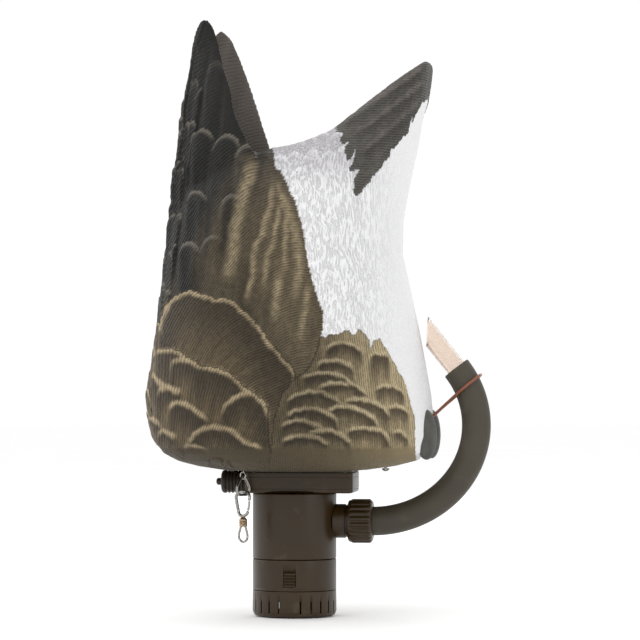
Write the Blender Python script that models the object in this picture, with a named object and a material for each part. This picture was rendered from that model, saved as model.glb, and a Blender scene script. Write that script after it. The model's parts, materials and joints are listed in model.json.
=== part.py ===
"""Tipped-up feeder decoy with a water-jet pump under it.

Units are metres and +Z is up.  The origin is on the pump's axis, in the plane of the strainer's
flat bottom.  The bird's back is towards -X, its belly, the outlet and the hose are towards +X.
Every object is one closed solid.  Touching pieces keep a gap of GAP.
"""
import bmesh
import bpy
import numpy as np
from math import cos, pi, radians, sin
from mathutils import Matrix, Vector

MM = 0.001
GAP = 0.3 * MM

# ---- bird shell -------------------------------------------------------------------------------
SHELL_WALL = 3.0 * MM
FLOOR_Z = 109.0 * MM              # flat underside that the box is screwed to
SHELL_SEGMENTS = 28
CAVITY_SEGMENTS = 20
CAVITY_TOP_Z = 384.0 * MM
SECTION_POWER = 0.88              # below 1 makes the cross-sections a little square
FOOT_CENTRE = (101.0 * MM, 24.0 * MM, 135.5 * MM)
FOOT_RADII = (6.5 * MM, 15.5 * MM, 18.5 * MM)
FOOT_TURN = radians(13)
FOOT_TAPER = 0.28                 # how much narrower a foot is at its top
SKIN_CLEARANCE = 0.4 * MM

# Cross-sections of the trunk and tail in mm: height, back edge x, belly edge x, half width.
TRUNK_SECTIONS = [
    (109.0, -53, 54, 53), (112.0, -72, 76, 72), (116.0, -87, 92, 86), (122.0, -98, 103, 95),
    (134.0, -105, 106, 101), (150.0, -108.5, 104, 103), (165.0, -109.5, 102.5, 103),
    (188.0, -105.5, 98.5, 100), (215.0, -101.5, 93.5, 96), (245.0, -98, 87, 91),
    (270.0, -95, 81.5, 86), (295.0, -91, 82, 80), (315.0, -84, 85.5, 75), (329.0, -70, 88.5, 70),
    (341.0, -47, 91, 65), (346.5, -24, 92.5, 62), (349.5, -4, 93, 58), (355.0, 13, 94, 54),
    (361.5, 28, 95, 50), (373.0, 44, 97, 46), (383.5, 57, 100, 42), (395.0, 72, 102, 38),
    (402.5, 83, 103, 34), (409.5, 94, 103.5, 27), (412.5, 98, 103, 19),
]

# Wing sections in mm: height, back edge x, back edge |y|, front edge x, front edge |y|, thickness.
NEAR_WING_SECTIONS = [
    (262.0, -93, 30, -20, 76, 16), (300.0, -91, 26, -8, 70, 15), (330.0, -88, 22, -18, 63, 13),
    (352.0, -84, 20, -29, 56, 12), (372.0, -82.5, 19, -39, 50, 11), (392.0, -80, 18, -43, 44, 10),
    (409.0, -76.5, 18, -49, 38, 8.5), (425.0, -75.5, 18, -53, 32, 7), (437.0, -73, 19, -57, 28, 5.5),
    (444.0, -69, 21, -61, 25, 4),
]
FAR_WING_SECTIONS = [
    (262.0, -93, 30, -20, 76, 16), (300.0, -91, 26, -8, 70, 15), (330.0, -87, 22, -16, 63, 13),
    (352.0, -82, 20, -25, 56, 12), (372.0, -79, 19, -31, 50, 11), (392.0, -76, 18, -37, 44, 10),
    (409.0, -72, 18, -42, 38, 8.5), (424.0, -69.5, 18, -47, 32, 7), (434.0, -66.5, 19, -51, 28, 5.5),
    (439.5, -63, 21, -55, 25, 4),
]
WING_SEGMENTS = 12

# ---- mounting box and what is in it ----------------------------------------------------------
BOX_X = (-34.5 * MM, 46.2 * MM)
BOX_HALF_Y = 25.0 * MM
BOX_Z = (91.9 * MM, 107.2 * MM)
BOX_WALL = 2.4 * MM
BOX_CORNER = 3.0 * MM
BOSS_SIZE = 7.0 * MM
SCREW_SPOTS = [(-28.0, -18.8), (39.7, -18.8), (39.7, 18.8), (-28.0, 18.8)]
SCREW_HOLE_R = 1.9 * MM
SCREW_HOLE_SPAN = (96.0, 114.0)   # mm
BELLY_SCREW_X = 68.5 * MM
GASKET_Z = (107.5 * MM, 108.7 * MM)
ACCESS_X = (-22.0 * MM, 43.0 * MM)
ACCESS_HALF_Y = 14.0 * MM
BOARD_Z = (98.0 * MM, 99.6 * MM)
BOARD_X = (-13.0 * MM, 33.0 * MM)
BOARD_HALF_Y = 16.0 * MM
BATTERY_SIZE = (90.0 * MM, 70.0 * MM, 101.0 * MM)
BATTERY_CENTRE_X = -12.0 * MM
BATTERY_BASE_Z = 115.3 * MM
TRAY_LOW = (-40.0 * MM, -37.4 * MM, 112.6 * MM)
TRAY_HIGH = (31.0 * MM, 37.4 * MM, 122.0 * MM)
TRAY_SEAT_HALF_Y = 35.4 * MM
TRAY_FLOOR_Z = 115.0 * MM
TRAY_OPENING_HALF_Y = 23.5 * MM
STRAP_X = (-27.0 * MM, -9.0 * MM)
STRAP_THICKNESS = 1.6 * MM
STRAP_FOOT_Z = 122.3 * MM

# ---- push switch ------------------------------------------------------------------------------
SWITCH_Z = 99.9 * MM
BOOT_R = 8.7 * MM
BOOT_FOLDS = 4
BOOT_X = (-54.9 * MM, -34.8 * MM)
BUTTON_R = 2.6 * MM
BUTTON_X = (-59.3 * MM, -41.0 * MM)

# ---- pump -------------------------------------------------------------------------------------
PUMP_R = 31.3 * MM
PUMP_WALL = 2.5 * MM
STRAINER_TOP_Z = 19.3 * MM
RING_Z = (19.6 * MM, 42.4 * MM)
HOUSING_Z = (42.8 * MM, 91.6 * MM)
SLOT_COUNT = 24
PUMP_SEGMENTS = 36
SLOT_WIDTH = 1.3 * MM
SLOT_TOP_Z = 12.0 * MM
SLOT_BOTTOM_Z = 3.0 * MM
TAB_WIDTH = 8.4 * MM
TAB_Z = (23.0 * MM, 33.0 * MM)
MOTOR_R = 17.0 * MM
SHAFT_R = 1.6 * MM
DIFFUSER_PORTS = 6
DIFFUSER_PORT_CIRCLE = 21.4 * MM
IMPELLER_VANES = 5

# ---- outlet, hose and nozzle ------------------------------------------------------------------
OUTLET_Z = 70.7 * MM
NECK_R = 12.7 * MM
NECK_END_X = 47.0 * MM
NECK_BORE_R = 5.8 * MM
BARB_R = 7.7 * MM
BARB_END_X = 57.0 * MM
NUT_X = (40.8 * MM, 59.0 * MM)
NUT_R = 16.4 * MM
NUT_RIBS = 22
HOSE_R = 10.75 * MM
HOSE_BORE_R = 8.4 * MM
HOSE_START_X = 48.0 * MM
HOSE_ARC_CENTRE = (58.8 * MM, 142.4 * MM)
HOSE_ARC_RADII = (77.5 * MM, 71.7 * MM)
HOSE_ARC_END = radians(126.3)
HOSE_SPANS = 14
NOZZLE_R = 7.6 * MM
NOZZLE_BORE_R = 6.1 * MM
NOZZLE_INSERT = 5.0 * MM
NOZZLE_SHORT = 26.0 * MM          # from the hose's end to the cut's lower corner
NOZZLE_LONG = 43.0 * MM           # from the hose's end to the cut's tip
TIE_ANGLE = radians(114)
TIE_TILT = radians(14)
TIE_RING_R = 12.6 * MM
TIE_WIRE_R = 1.1 * MM

# ---- anchor tackle ----------------------------------------------------------------------------
TACKLE_XY = (-34.0 * MM, -35.0 * MM)
TACKLE_TURN = radians(-33)        # the hook's plane, turned about Z from the XZ plane
EYELET_Z = 105.5 * MM
EYELET_R = 2.4 * MM
EYELET_WIRE_R = 0.7 * MM
RING_TOP_Z = 104.9 * MM
RING_BOTTOM_Z = 91.2 * MM
RING_HALF_WIDTH = 7.0 * MM
RING_WIRE_R = 0.8 * MM
HOOK_WIRE_R = 1.0 * MM
GATE_WIRE_R = 0.8 * MM
SWIVEL_EYE_RADII = (4.1 * MM, 5.4 * MM)
SWIVEL_EYE_Z = 61.6 * MM
LOOP_POINTS = 16


# ---- helpers ----------------------------------------------------------------------------------
def clear_scene():
    for obj in list(bpy.data.objects):
        bpy.data.objects.remove(obj, do_unlink=True)


def material(name, colour, roughness, metallic=0.0, alpha=1.0):
    mat = bpy.data.materials.get(name)
    if mat:
        return mat
    mat = bpy.data.materials.new(name)
    mat.use_nodes = True
    shader = mat.node_tree.nodes["Principled BSDF"]
    shader.inputs["Base Color"].default_value = (*colour, 1.0)
    shader.inputs["Roughness"].default_value = roughness
    shader.inputs["Metallic"].default_value = metallic
    shader.inputs["Alpha"].default_value = alpha
    return mat


def painted_plastic():
    return material("painted_plastic", (0.13, 0.11, 0.08), 0.6)


def brown_plastic():
    return material("brown_plastic", (0.055, 0.042, 0.032), 0.35)


def black_plastic():
    return material("black_plastic", (0.02, 0.02, 0.02), 0.5)


def black_rubber():
    return material("black_rubber", (0.045, 0.04, 0.033), 0.75)


def clear_plastic():
    return material("clear_plastic", (0.82, 0.6, 0.45), 0.1, 0.0, 0.4)


def steel():
    return material("steel", (0.6, 0.59, 0.57), 0.2, 1.0)


def brass():
    return material("brass", (0.55, 0.4, 0.2), 0.3, 1.0)


def copper():
    return material("copper", (0.35, 0.14, 0.08), 0.4, 1.0)


def circuit_board():
    return material("circuit_board", (0.02, 0.16, 0.06), 0.5)


def finish(name, bm, mat, origin=(0, 0, 0), sharp=35):
    """Make the bmesh an object, with its origin moved to the given point."""
    bmesh.ops.recalc_face_normals(bm, faces=bm.faces)
    mesh = bpy.data.meshes.new(name)
    bmesh.ops.translate(bm, verts=bm.verts, vec=-Vector(origin))
    bm.to_mesh(mesh)
    bm.free()
    mesh.shade_smooth()
    mesh.set_sharp_from_angle(angle=radians(sharp))
    mesh.materials.append(mat)
    obj = bpy.data.objects.new(name, mesh)
    obj.location = origin
    bpy.context.scene.collection.objects.link(obj)
    return obj


def as_cutter(obj):
    obj.hide_render = True
    obj.display_type = "WIRE"
    return obj


def combine(target, other, operation="DIFFERENCE"):
    """Add an exact Boolean; the other object becomes a cutter and stays in the file."""
    modifier = target.modifiers.new("with_" + other.name, "BOOLEAN")
    modifier.operation = operation
    modifier.solver = "EXACT"
    modifier.object = as_cutter(other)
    return target


def loft(rings, closed=False):
    """Skin a list of rings of points; open lofts get an end face on the first and last ring."""
    bm = bmesh.new()
    rows = [[bm.verts.new(point) for point in ring] for ring in rings]
    count = len(rows[0])
    pairs = list(zip(rows, rows[1:]))
    if closed:
        pairs.append((rows[-1], rows[0]))
    for lower, upper in pairs:
        for i in range(count):
            j = (i + 1) % count
            bm.faces.new((lower[i], lower[j], upper[j], upper[i]))
    if not closed:
        bm.faces.new(rows[0])
        bm.faces.new(rows[-1])
    return bm


def turn(profile, segments=32, centre=(0, 0, 0), axis="Z"):
    """Turn a closed profile of (radius, height) points in mm about an axis through centre.

    Points at radius 0 share one vertex, so a solid turned piece closes on its axis.
    """
    bm = bmesh.new()
    columns = []
    for radius, height in profile:
        if radius == 0:
            columns.append([bm.verts.new((0, 0, height * MM))] * segments)
            continue
        ring = []
        for i in range(segments):
            angle = 2 * pi * i / segments
            ring.append(bm.verts.new((radius * MM * cos(angle), radius * MM * sin(angle), height * MM)))
        columns.append(ring)
    for first, second in zip(columns, columns[1:] + columns[:1]):
        for i in range(segments):
            j = (i + 1) % segments
            corners = []
            for vert in (first[i], first[j], second[j], second[i]):
                if vert not in corners:
                    corners.append(vert)
            if len(corners) > 2:
                bm.faces.new(corners)
    if axis == "X":
        bmesh.ops.rotate(bm, verts=bm.verts, matrix=Matrix.Rotation(pi / 2, 3, "Y"))
    bmesh.ops.translate(bm, verts=bm.verts, vec=Vector(centre))
    return bm


def disc_profile(radius, low, high):
    return [(0, low), (radius, low), (radius, high), (0, high)]


def ring_profile(inner, outer, low, high):
    return [(inner, low), (outer, low), (outer, high), (inner, high)]


def block(low, high, bevel=0.0, segments=2, vertical_only=False):
    """A box between two corners, with rounded edges when bevel is set."""
    bm = bmesh.new()
    bmesh.ops.create_cube(bm, size=1.0)
    size = Vector(high) - Vector(low)
    middle = (Vector(high) + Vector(low)) / 2
    bmesh.ops.scale(bm, verts=bm.verts, vec=size)
    bmesh.ops.translate(bm, verts=bm.verts, vec=middle)
    if bevel:
        edges = bm.edges[:]
        if vertical_only:
            edges = [e for e in edges if abs(e.verts[0].co.z - e.verts[1].co.z) > bevel]
        bmesh.ops.bevel(bm, geom=edges, offset=bevel, segments=segments, affect="EDGES", profile=0.5)
    return bm


def merge(first, second):
    """Copy the second bmesh's geometry into the first, as a separate body."""
    mesh = bpy.data.meshes.new("scratch")
    second.to_mesh(mesh)
    second.free()
    first.from_mesh(mesh)
    bpy.data.meshes.remove(mesh)
    return first


def smooth_curve(points, per_span, closed=False):
    """Catmull-Rom curve through hand-chosen points."""
    points = [Vector(p) for p in points]
    count = len(points)
    spans = count if closed else count - 1
    result = []
    for i in range(spans):
        if closed:
            p0, p1, p2, p3 = (points[(i + k) % count] for k in (-1, 0, 1, 2))
        else:
            p0 = points[max(i - 1, 0)]
            p1, p2 = points[i], points[i + 1]
            p3 = points[min(i + 2, count - 1)]
        for k in range(per_span):
            t = k / per_span
            result.append(0.5 * (2 * p1 + (p2 - p0) * t + (2 * p0 - 5 * p1 + 4 * p2 - p3) * t * t
                                 + (3 * p1 - 3 * p2 + p3 - p0) * t ** 3))
    if not closed:
        result.append(points[-1])
    return result


def sweep_rings(path, radius, sides, closed=False, turn_by=0.0):
    """Rings of points around a path, carried along it without twisting."""
    count = len(path)
    tangents = []
    for i in range(count):
        if closed:
            ahead, behind = path[(i + 1) % count], path[i - 1]
        else:
            ahead, behind = path[min(i + 1, count - 1)], path[max(i - 1, 0)]
        tangents.append((ahead - behind).normalized())
    side = tangents[0].orthogonal().normalized()
    rings = []
    for point, tangent in zip(path, tangents):
        side = (side - tangent * side.dot(tangent)).normalized()
        other = tangent.cross(side)
        ring = []
        for k in range(sides):
            angle = 2 * pi * k / sides + turn_by
            ring.append(point + (side * cos(angle) + other * sin(angle)) * radius)
        rings.append(ring)
    return rings


def rod(path, radius, sides=8, closed=False):
    return loft(sweep_rings(path, radius, sides, closed), closed)


def pipe(path, outer, inner, sides):
    """A hollow tube along a path: the outer skin out, the inner skin back."""
    rings = sweep_rings(path, outer, sides) + sweep_rings(path, inner, sides)[::-1]
    return loft(rings, closed=True)


# ---- bird -------------------------------------------------------------------------------------
def trunk_outline(height):
    """Back edge, belly edge and half width in metres at a height in metres."""
    heights = [row[0] for row in TRUNK_SECTIONS]
    return [MM * float(np.interp(height / MM, heights, [row[k] for row in TRUNK_SECTIONS]))
            for k in (1, 2, 3)]


def trunk_ring(height, outline_height, inset, segments):
    back, belly, half_width = trunk_outline(outline_height)
    middle = (back + belly) / 2
    half_depth = max((belly - back) / 2 - inset, 1 * MM)
    half_width = max(half_width - inset, 1 * MM)
    ring = []
    for i in range(segments):
        angle = 2 * pi * i / segments
        c, s = cos(angle), sin(angle)
        x = middle + half_depth * np.sign(c) * abs(c) ** SECTION_POWER
        y = half_width * np.sign(s) * abs(s) ** SECTION_POWER
        ring.append((x, y, height))
    return ring


def trunk_solid(grow=0.0):
    rings = []
    for row in TRUNK_SECTIONS:
        height = row[0] * MM
        lift = grow if height > CAVITY_TOP_Z else 0.0
        if height < TRUNK_SECTIONS[3][0] * MM:
            lift = -grow
        rings.append(trunk_ring(height + lift, height, -grow, SHELL_SEGMENTS))
    return loft(rings)


def cavity_solid():
    """The hollow inside, one wall thickness in from the skin on every side."""
    heights = [FLOOR_Z + SHELL_WALL, 116 * MM, 121 * MM, 128 * MM, 150 * MM, 188 * MM, 230 * MM,
               270 * MM, 300 * MM, 318 * MM, 330 * MM, 340 * MM, 353 * MM, 369 * MM, CAVITY_TOP_Z]
    rings = []
    for height in heights:
        shift = 0.0
        if height < 140 * MM:
            shift = -SHELL_WALL
        if height > 290 * MM:
            shift = SHELL_WALL
        rings.append(trunk_ring(height, height + shift, SHELL_WALL, CAVITY_SEGMENTS))
    return loft(rings)


def wing_solid(sections, side):
    """A thin tapering blade whose back edge lies nearer the middle than its front edge."""
    rings = []
    for height, back_x, back_y, front_x, front_y, thickness in sections:
        back = Vector((back_x, side * back_y))
        front = Vector((front_x, side * front_y))
        middle = (back + front) / 2
        along = (front - back) / 2
        across = Vector((-along.y, along.x)).normalized() * thickness / 2
        ring = []
        for i in range(WING_SEGMENTS):
            angle = 2 * pi * i / WING_SEGMENTS
            point = middle + along * cos(angle) + across * sin(angle)
            ring.append((point.x * MM, point.y * MM, height * MM))
        rings.append(ring)
    return loft(rings)


def screw_hole_cutter():
    """Clearance holes for the four screws that hold the box."""
    bm = bmesh.new()
    for x, y in SCREW_SPOTS:
        spot = turn(disc_profile(SCREW_HOLE_R / MM, *SCREW_HOLE_SPAN), 12, (x * MM, y * MM, 0))
        merge(bm, spot)
    return finish("screw_hole_cutter", bm, brown_plastic())


def underside_hole_cutter():
    """Holes in the shell's floor for the screw eye and for the lone screw near the belly."""
    bm = turn(disc_profile(1.4, 106.0, 114.0), 10, (*TACKLE_XY, 0))
    merge(bm, turn(disc_profile(1.6, 106.0, 118.0), 10, (BELLY_SCREW_X, 0, 0)))
    return finish("underside_hole_cutter", bm, brown_plastic())


def make_body_shell(screw_holes):
    shell = finish("body_shell", trunk_solid(), painted_plastic(), sharp=50)
    near = finish("near_wing_form", wing_solid(NEAR_WING_SECTIONS, -1), painted_plastic())
    far = finish("far_wing_form", wing_solid(FAR_WING_SECTIONS, 1), painted_plastic())
    combine(shell, near, "UNION")
    combine(shell, far, "UNION")
    combine(shell, finish("cavity_form", cavity_solid(), painted_plastic()))
    access_low = (ACCESS_X[0], -ACCESS_HALF_Y, FLOOR_Z - 5 * MM)
    access_high = (ACCESS_X[1], ACCESS_HALF_Y, FLOOR_Z + 6 * MM)
    combine(shell, finish("access_form", block(access_low, access_high), painted_plastic()))
    combine(shell, screw_holes)
    combine(shell, underside_hole_cutter())
    return shell


def make_feet():
    """Two tucked feet: pads that stand out of the belly, cut to its surface."""
    skin = finish("skin_form", trunk_solid(grow=SKIN_CLEARANCE), painted_plastic())
    for name, side in (("near_foot", -1), ("far_foot", 1)):
        bm = bmesh.new()
        bmesh.ops.create_uvsphere(bm, u_segments=14, v_segments=10, radius=1.0)
        for vert in bm.verts:
            taper = 1.0 - FOOT_TAPER * vert.co.z
            vert.co.x *= FOOT_RADII[0]
            vert.co.y *= FOOT_RADII[1] * taper
            vert.co.z *= FOOT_RADII[2]
        bmesh.ops.rotate(bm, verts=bm.verts, matrix=Matrix.Rotation(FOOT_TURN * side, 3, "Z"))
        centre = (FOOT_CENTRE[0], side * FOOT_CENTRE[1], FOOT_CENTRE[2])
        bmesh.ops.translate(bm, verts=bm.verts, vec=centre)
        foot = finish(name, bm, black_plastic())
        combine(foot, skin)


# ---- box, electronics and battery -------------------------------------------------------------
def make_mounting_box(screw_holes):
    box = finish("mounting_box", block((BOX_X[0], -BOX_HALF_Y, BOX_Z[0]), (BOX_X[1], BOX_HALF_Y, BOX_Z[1]),
                                       BOX_CORNER, 3, vertical_only=True), brown_plastic())
    inside_low = (BOX_X[0] + BOX_WALL, -BOX_HALF_Y + BOX_WALL, BOX_Z[0] + BOX_WALL)
    inside_high = (BOX_X[1] - BOX_WALL, BOX_HALF_Y - BOX_WALL, BOX_Z[1] + 5 * MM)
    combine(box, finish("box_inside_form", block(inside_low, inside_high), brown_plastic()))
    for index, (x, y) in enumerate(SCREW_SPOTS):
        half = BOSS_SIZE / 2
        low = (x * MM - half, y * MM - half, BOX_Z[0] + 1 * MM)
        high = (x * MM + half, y * MM + half, BOX_Z[1])
        combine(box, finish(f"boss_form_{index + 1}", block(low, high), brown_plastic()), "UNION")
    for index, x in enumerate((-8 * MM, 28 * MM)):
        low = (x, -9 * MM, BOX_Z[0] + 1 * MM)
        high = (x + 2 * MM, 9 * MM, BOARD_Z[0] - GAP)
        combine(box, finish(f"board_rest_form_{index + 1}", block(low, high), brown_plastic()), "UNION")
    combine(box, screw_holes)
    combine(box, finish("switch_hole_form", turn(disc_profile(5.7, -40.0, -28.0), 20,
                                                (0, 0, SWITCH_Z), "X"), brown_plastic()))
    combine(box, finish("lead_hole_form", turn(disc_profile(4.0, 85.0, 97.0), 16), brown_plastic()))
    return box


def make_gasket(screw_holes):
    bm = block((BOX_X[0] + 0.5 * MM, -BOX_HALF_Y + 0.5 * MM, GASKET_Z[0]),
               (BOX_X[1] - 0.5 * MM, BOX_HALF_Y - 0.5 * MM, GASKET_Z[1]))
    gasket = finish("box_gasket", bm, black_rubber())
    hole_low = (ACCESS_X[0], -ACCESS_HALF_Y, GASKET_Z[0] - MM)
    hole_high = (ACCESS_X[1], ACCESS_HALF_Y, GASKET_Z[1] + MM)
    combine(gasket, finish("gasket_hole_form", block(hole_low, hole_high), black_rubber()))
    combine(gasket, screw_holes)


def make_box_screws():
    """Four screws from inside the shell down into the box's bosses."""
    head_z = FLOOR_Z + SHELL_WALL + GAP
    for index, (x, y) in enumerate(SCREW_SPOTS):
        top = head_z / MM
        profile = [(0, 97.0), (1.5, 98.0), (1.5, top), (3.2, top), (2.6, top + 1.9), (0, top + 1.9)]
        screw = finish(f"box_screw_{index + 1}", turn(profile, 12), steel())
        screw.location = (x * MM, y * MM, 0)


def make_electronics():
    board_low = (BOARD_X[0], -BOARD_HALF_Y, BOARD_Z[0])
    board_high = (BOARD_X[1], BOARD_HALF_Y, BOARD_Z[1])
    finish("control_board", block(board_low, board_high), circuit_board())
    finish("relay", block((12 * MM, -8 * MM, BOARD_Z[1] + GAP), (28 * MM, 4 * MM, 107 * MM), 0.8 * MM, 1),
           black_plastic())
    finish("timer_chip", block((-6 * MM, -5 * MM, BOARD_Z[1] + GAP), (4 * MM, 5 * MM, 102 * MM)),
           black_plastic())


def make_battery():
    length, width, height = BATTERY_SIZE
    low = (BATTERY_CENTRE_X - length / 2, -width / 2, BATTERY_BASE_Z)
    high = (BATTERY_CENTRE_X + length / 2, width / 2, BATTERY_BASE_Z + height)
    finish("battery", block(low, high, 2 * MM, 2), black_plastic())
    tray = finish("battery_tray", block(TRAY_LOW, TRAY_HIGH), brown_plastic())
    seat_low = (-60 * MM, -TRAY_SEAT_HALF_Y, TRAY_FLOOR_Z)
    seat_high = (60 * MM, TRAY_SEAT_HALF_Y, TRAY_HIGH[2] + 8 * MM)
    combine(tray, finish("tray_seat_form", block(seat_low, seat_high), brown_plastic()))
    opening_low = (TRAY_LOW[0] + 4 * MM, -TRAY_OPENING_HALF_Y, TRAY_LOW[2] - 4.6 * MM)
    opening_high = (60 * MM, TRAY_OPENING_HALF_Y, TRAY_FLOOR_Z + 3 * MM)
    combine(tray, finish("tray_opening_form", block(opening_low, opening_high), brown_plastic()))


def make_battery_strap():
    """A band over the battery, from one tray rim to the other."""
    inner_y = TRAY_SEAT_HALF_Y
    outer_y = inner_y + STRAP_THICKNESS
    top = BATTERY_BASE_Z + BATTERY_SIZE[2] + 0.4 * MM
    foot = STRAP_FOOT_Z
    outline = [(-outer_y, foot), (-inner_y, foot), (-inner_y, top), (inner_y, top), (inner_y, foot),
               (outer_y, foot), (outer_y, top + STRAP_THICKNESS), (-outer_y, top + STRAP_THICKNESS)]
    rings = [[(x, y, z) for y, z in outline] for x in STRAP_X]
    finish("battery_strap", loft(rings), black_rubber())


def make_leads():
    """Short fixed leads, and the plug on the battery's terminals."""
    plug_top = BATTERY_BASE_Z + BATTERY_SIZE[2] + GAP
    finish("battery_plug", block((2 * MM, -8 * MM, plug_top), (18 * MM, 8 * MM, plug_top + 8 * MM), MM, 1),
           black_plastic())
    route = [(37, 0, 96.5), (37, 0, 130), (37, 0, 180), (37, 0, 208), (33, 0, 219), (18.4, 0, 221)]
    finish("battery_lead", rod(smooth_curve([Vector(p) * MM for p in route], 2), 1.8 * MM, 6), black_rubber())
    finish("pump_lead", rod([Vector((0, 0, z * MM)) for z in (88.2, 92, 97.6)], 2.2 * MM, 10), black_rubber())
    finish("switch_lead", rod([Vector((x * MM, 0, SWITCH_Z)) for x in (-19.6, -13.4)], 1.2 * MM, 8),
           black_rubber())
    finish("lead_grommet", turn(ring_profile(2.5, 3.7, 87.8, 95.2), 16), black_rubber())


# ---- push switch ------------------------------------------------------------------------------
def make_switch():
    centre = (0, 0, SWITCH_Z)
    body = [(0, -20.0), (0, -26.0), (2.9, -26.0), (2.9, -46.0), (5.4, -46.0), (5.4, -20.0)]
    finish("switch_body", turn(body, 20, centre, "X"), black_plastic())
    crest = BOOT_R / MM
    groove = crest - 1.5
    first, last = BOOT_X[0] / MM, BOOT_X[1] / MM
    pitch = (last - first - 2.0) / BOOT_FOLDS
    boot = [(2.95, first), (crest - 2.2, first)]
    for fold in range(BOOT_FOLDS):
        start = first + 0.6 + fold * pitch
        boot += [(groove, start), (crest, start + 0.3 * pitch), (crest, start + 0.7 * pitch)]
    boot += [(groove, last - 1.2), (crest, last), (5.7, last), (5.7, first + 1.6), (2.95, first + 1.6)]
    finish("switch_boot", turn(boot, 16, centre, "X"), black_rubber())
    low, high = BUTTON_X[0] / MM, BUTTON_X[1] / MM
    nub = BUTTON_R / MM
    button = [(0, low), (nub * 0.6, low), (nub, low + 0.9), (nub, high), (0, high)]
    finish("switch_button", turn(button, 16, centre, "X"), black_rubber(), (BUTTON_X[0], 0, SWITCH_Z))


# ---- pump -------------------------------------------------------------------------------------
def make_strainer():
    r = PUMP_R / MM
    top = STRAINER_TOP_Z / MM
    profile = [(0, 0), (r - 3.6, 0), (r - 1.2, 1.2), (r, 3.6), (r, top), (r - 2.2, top),
               (r - 2.2, 2.4), (0, 2.4)]
    strainer = finish("pump_strainer", turn(profile, PUMP_SEGMENTS), brown_plastic())
    slots = bmesh.new()
    for k in range(SLOT_COUNT):
        angle = -pi / 2 + 2 * pi * k / SLOT_COUNT
        if k % (SLOT_COUNT // 2) == 0:
            continue
        slot = block((25 * MM, -SLOT_WIDTH / 2, SLOT_BOTTOM_Z), (36 * MM, SLOT_WIDTH / 2, SLOT_TOP_Z))
        bmesh.ops.rotate(slot, verts=slot.verts, matrix=Matrix.Rotation(angle, 3, "Z"))
        merge(slots, slot)
    combine(strainer, finish("strainer_slot_form", slots, brown_plastic()))


def make_base_ring():
    """The lower pump body: inlet eye in its floor, a spigot with an O-ring groove on top."""
    r = PUMP_R / MM
    low, high = RING_Z[0] / MM, RING_Z[1] / MM
    profile = [(9.0, low), (r, low), (r, high), (28.4, high), (28.4, high + 1.6), (26.9, high + 1.6),
               (26.9, high + 3.2), (28.4, high + 3.2), (28.4, high + 4.6), (25.9, high + 4.6),
               (25.9, high - 4.0), (28.4, high - 5.5), (28.4, low + 2.4), (9.0, low + 2.4)]
    ring = finish("pump_base_ring", turn(profile, PUMP_SEGMENTS), brown_plastic())
    windows = bmesh.new()
    for side in (-1, 1):
        low_y, high_y = sorted((side * 26 * MM, side * 34 * MM))
        merge(windows, block((-TAB_WIDTH / 2 - 0.4 * MM, low_y, TAB_Z[0] - 0.4 * MM),
                             (TAB_WIDTH / 2 + 0.4 * MM, high_y, TAB_Z[1] + 0.4 * MM)))
    combine(ring, finish("tab_window_form", windows, brown_plastic()))


def make_latch_tabs():
    """Two press tabs that let the strainer off; each turns about its top edge."""
    for name, side in (("near_latch_tab", -1), ("far_latch_tab", 1)):
        outline = [(29.2, 23.0), (31.4, 23.0)]
        for rib in range(4):
            base = 24.0 + rib * 2.1
            outline += [(31.4, base), (32.3, base + 0.3), (32.3, base + 1.2), (31.4, base + 1.5)]
        outline += [(31.4, 33.0), (29.2, 33.0)]
        half = TAB_WIDTH / 2
        rings = [[(x, side * y * MM, z * MM) for y, z in outline] for x in (-half, half)]
        finish(name, loft(rings), brown_plastic(), (0, side * 30.2 * MM, 32.6 * MM))


def make_housing():
    """The upper pump body: a cup with its roof on top, and the threaded outlet neck."""
    r = PUMP_R / MM
    wall = PUMP_WALL / MM
    low, high = HOUSING_Z[0] / MM, HOUSING_Z[1] / MM
    profile = [(r - wall, low), (r, low), (r, high - 1), (r - 1, high), (4.0, high),
               (4.0, high - 3.2), (r - wall, high - 3.2)]
    housing = finish("pump_housing", turn(profile, PUMP_SEGMENTS), brown_plastic())
    neck_end, barb_end = NECK_END_X / MM, BARB_END_X / MM
    neck_r, barb_r = NECK_R / MM, BARB_R / MM
    neck = [(0, 29.6), (neck_r, 29.6), (neck_r, 38.6), (neck_r - 0.8, 38.6), (neck_r - 0.8, 40.0),
            (neck_r, 40.0), (neck_r, neck_end), (barb_r, neck_end), (barb_r, barb_end - 2),
            (barb_r - 0.8, barb_end), (0, barb_end)]
    combine(housing, finish("neck_form", turn(neck, 24, (0, 0, OUTLET_Z), "X"), brown_plastic()), "UNION")
    bore = turn(disc_profile(NECK_BORE_R / MM, 22.0, 62.0), 16, (0, 0, OUTLET_Z), "X")
    combine(housing, finish("neck_bore_form", bore, brown_plastic()))


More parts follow.
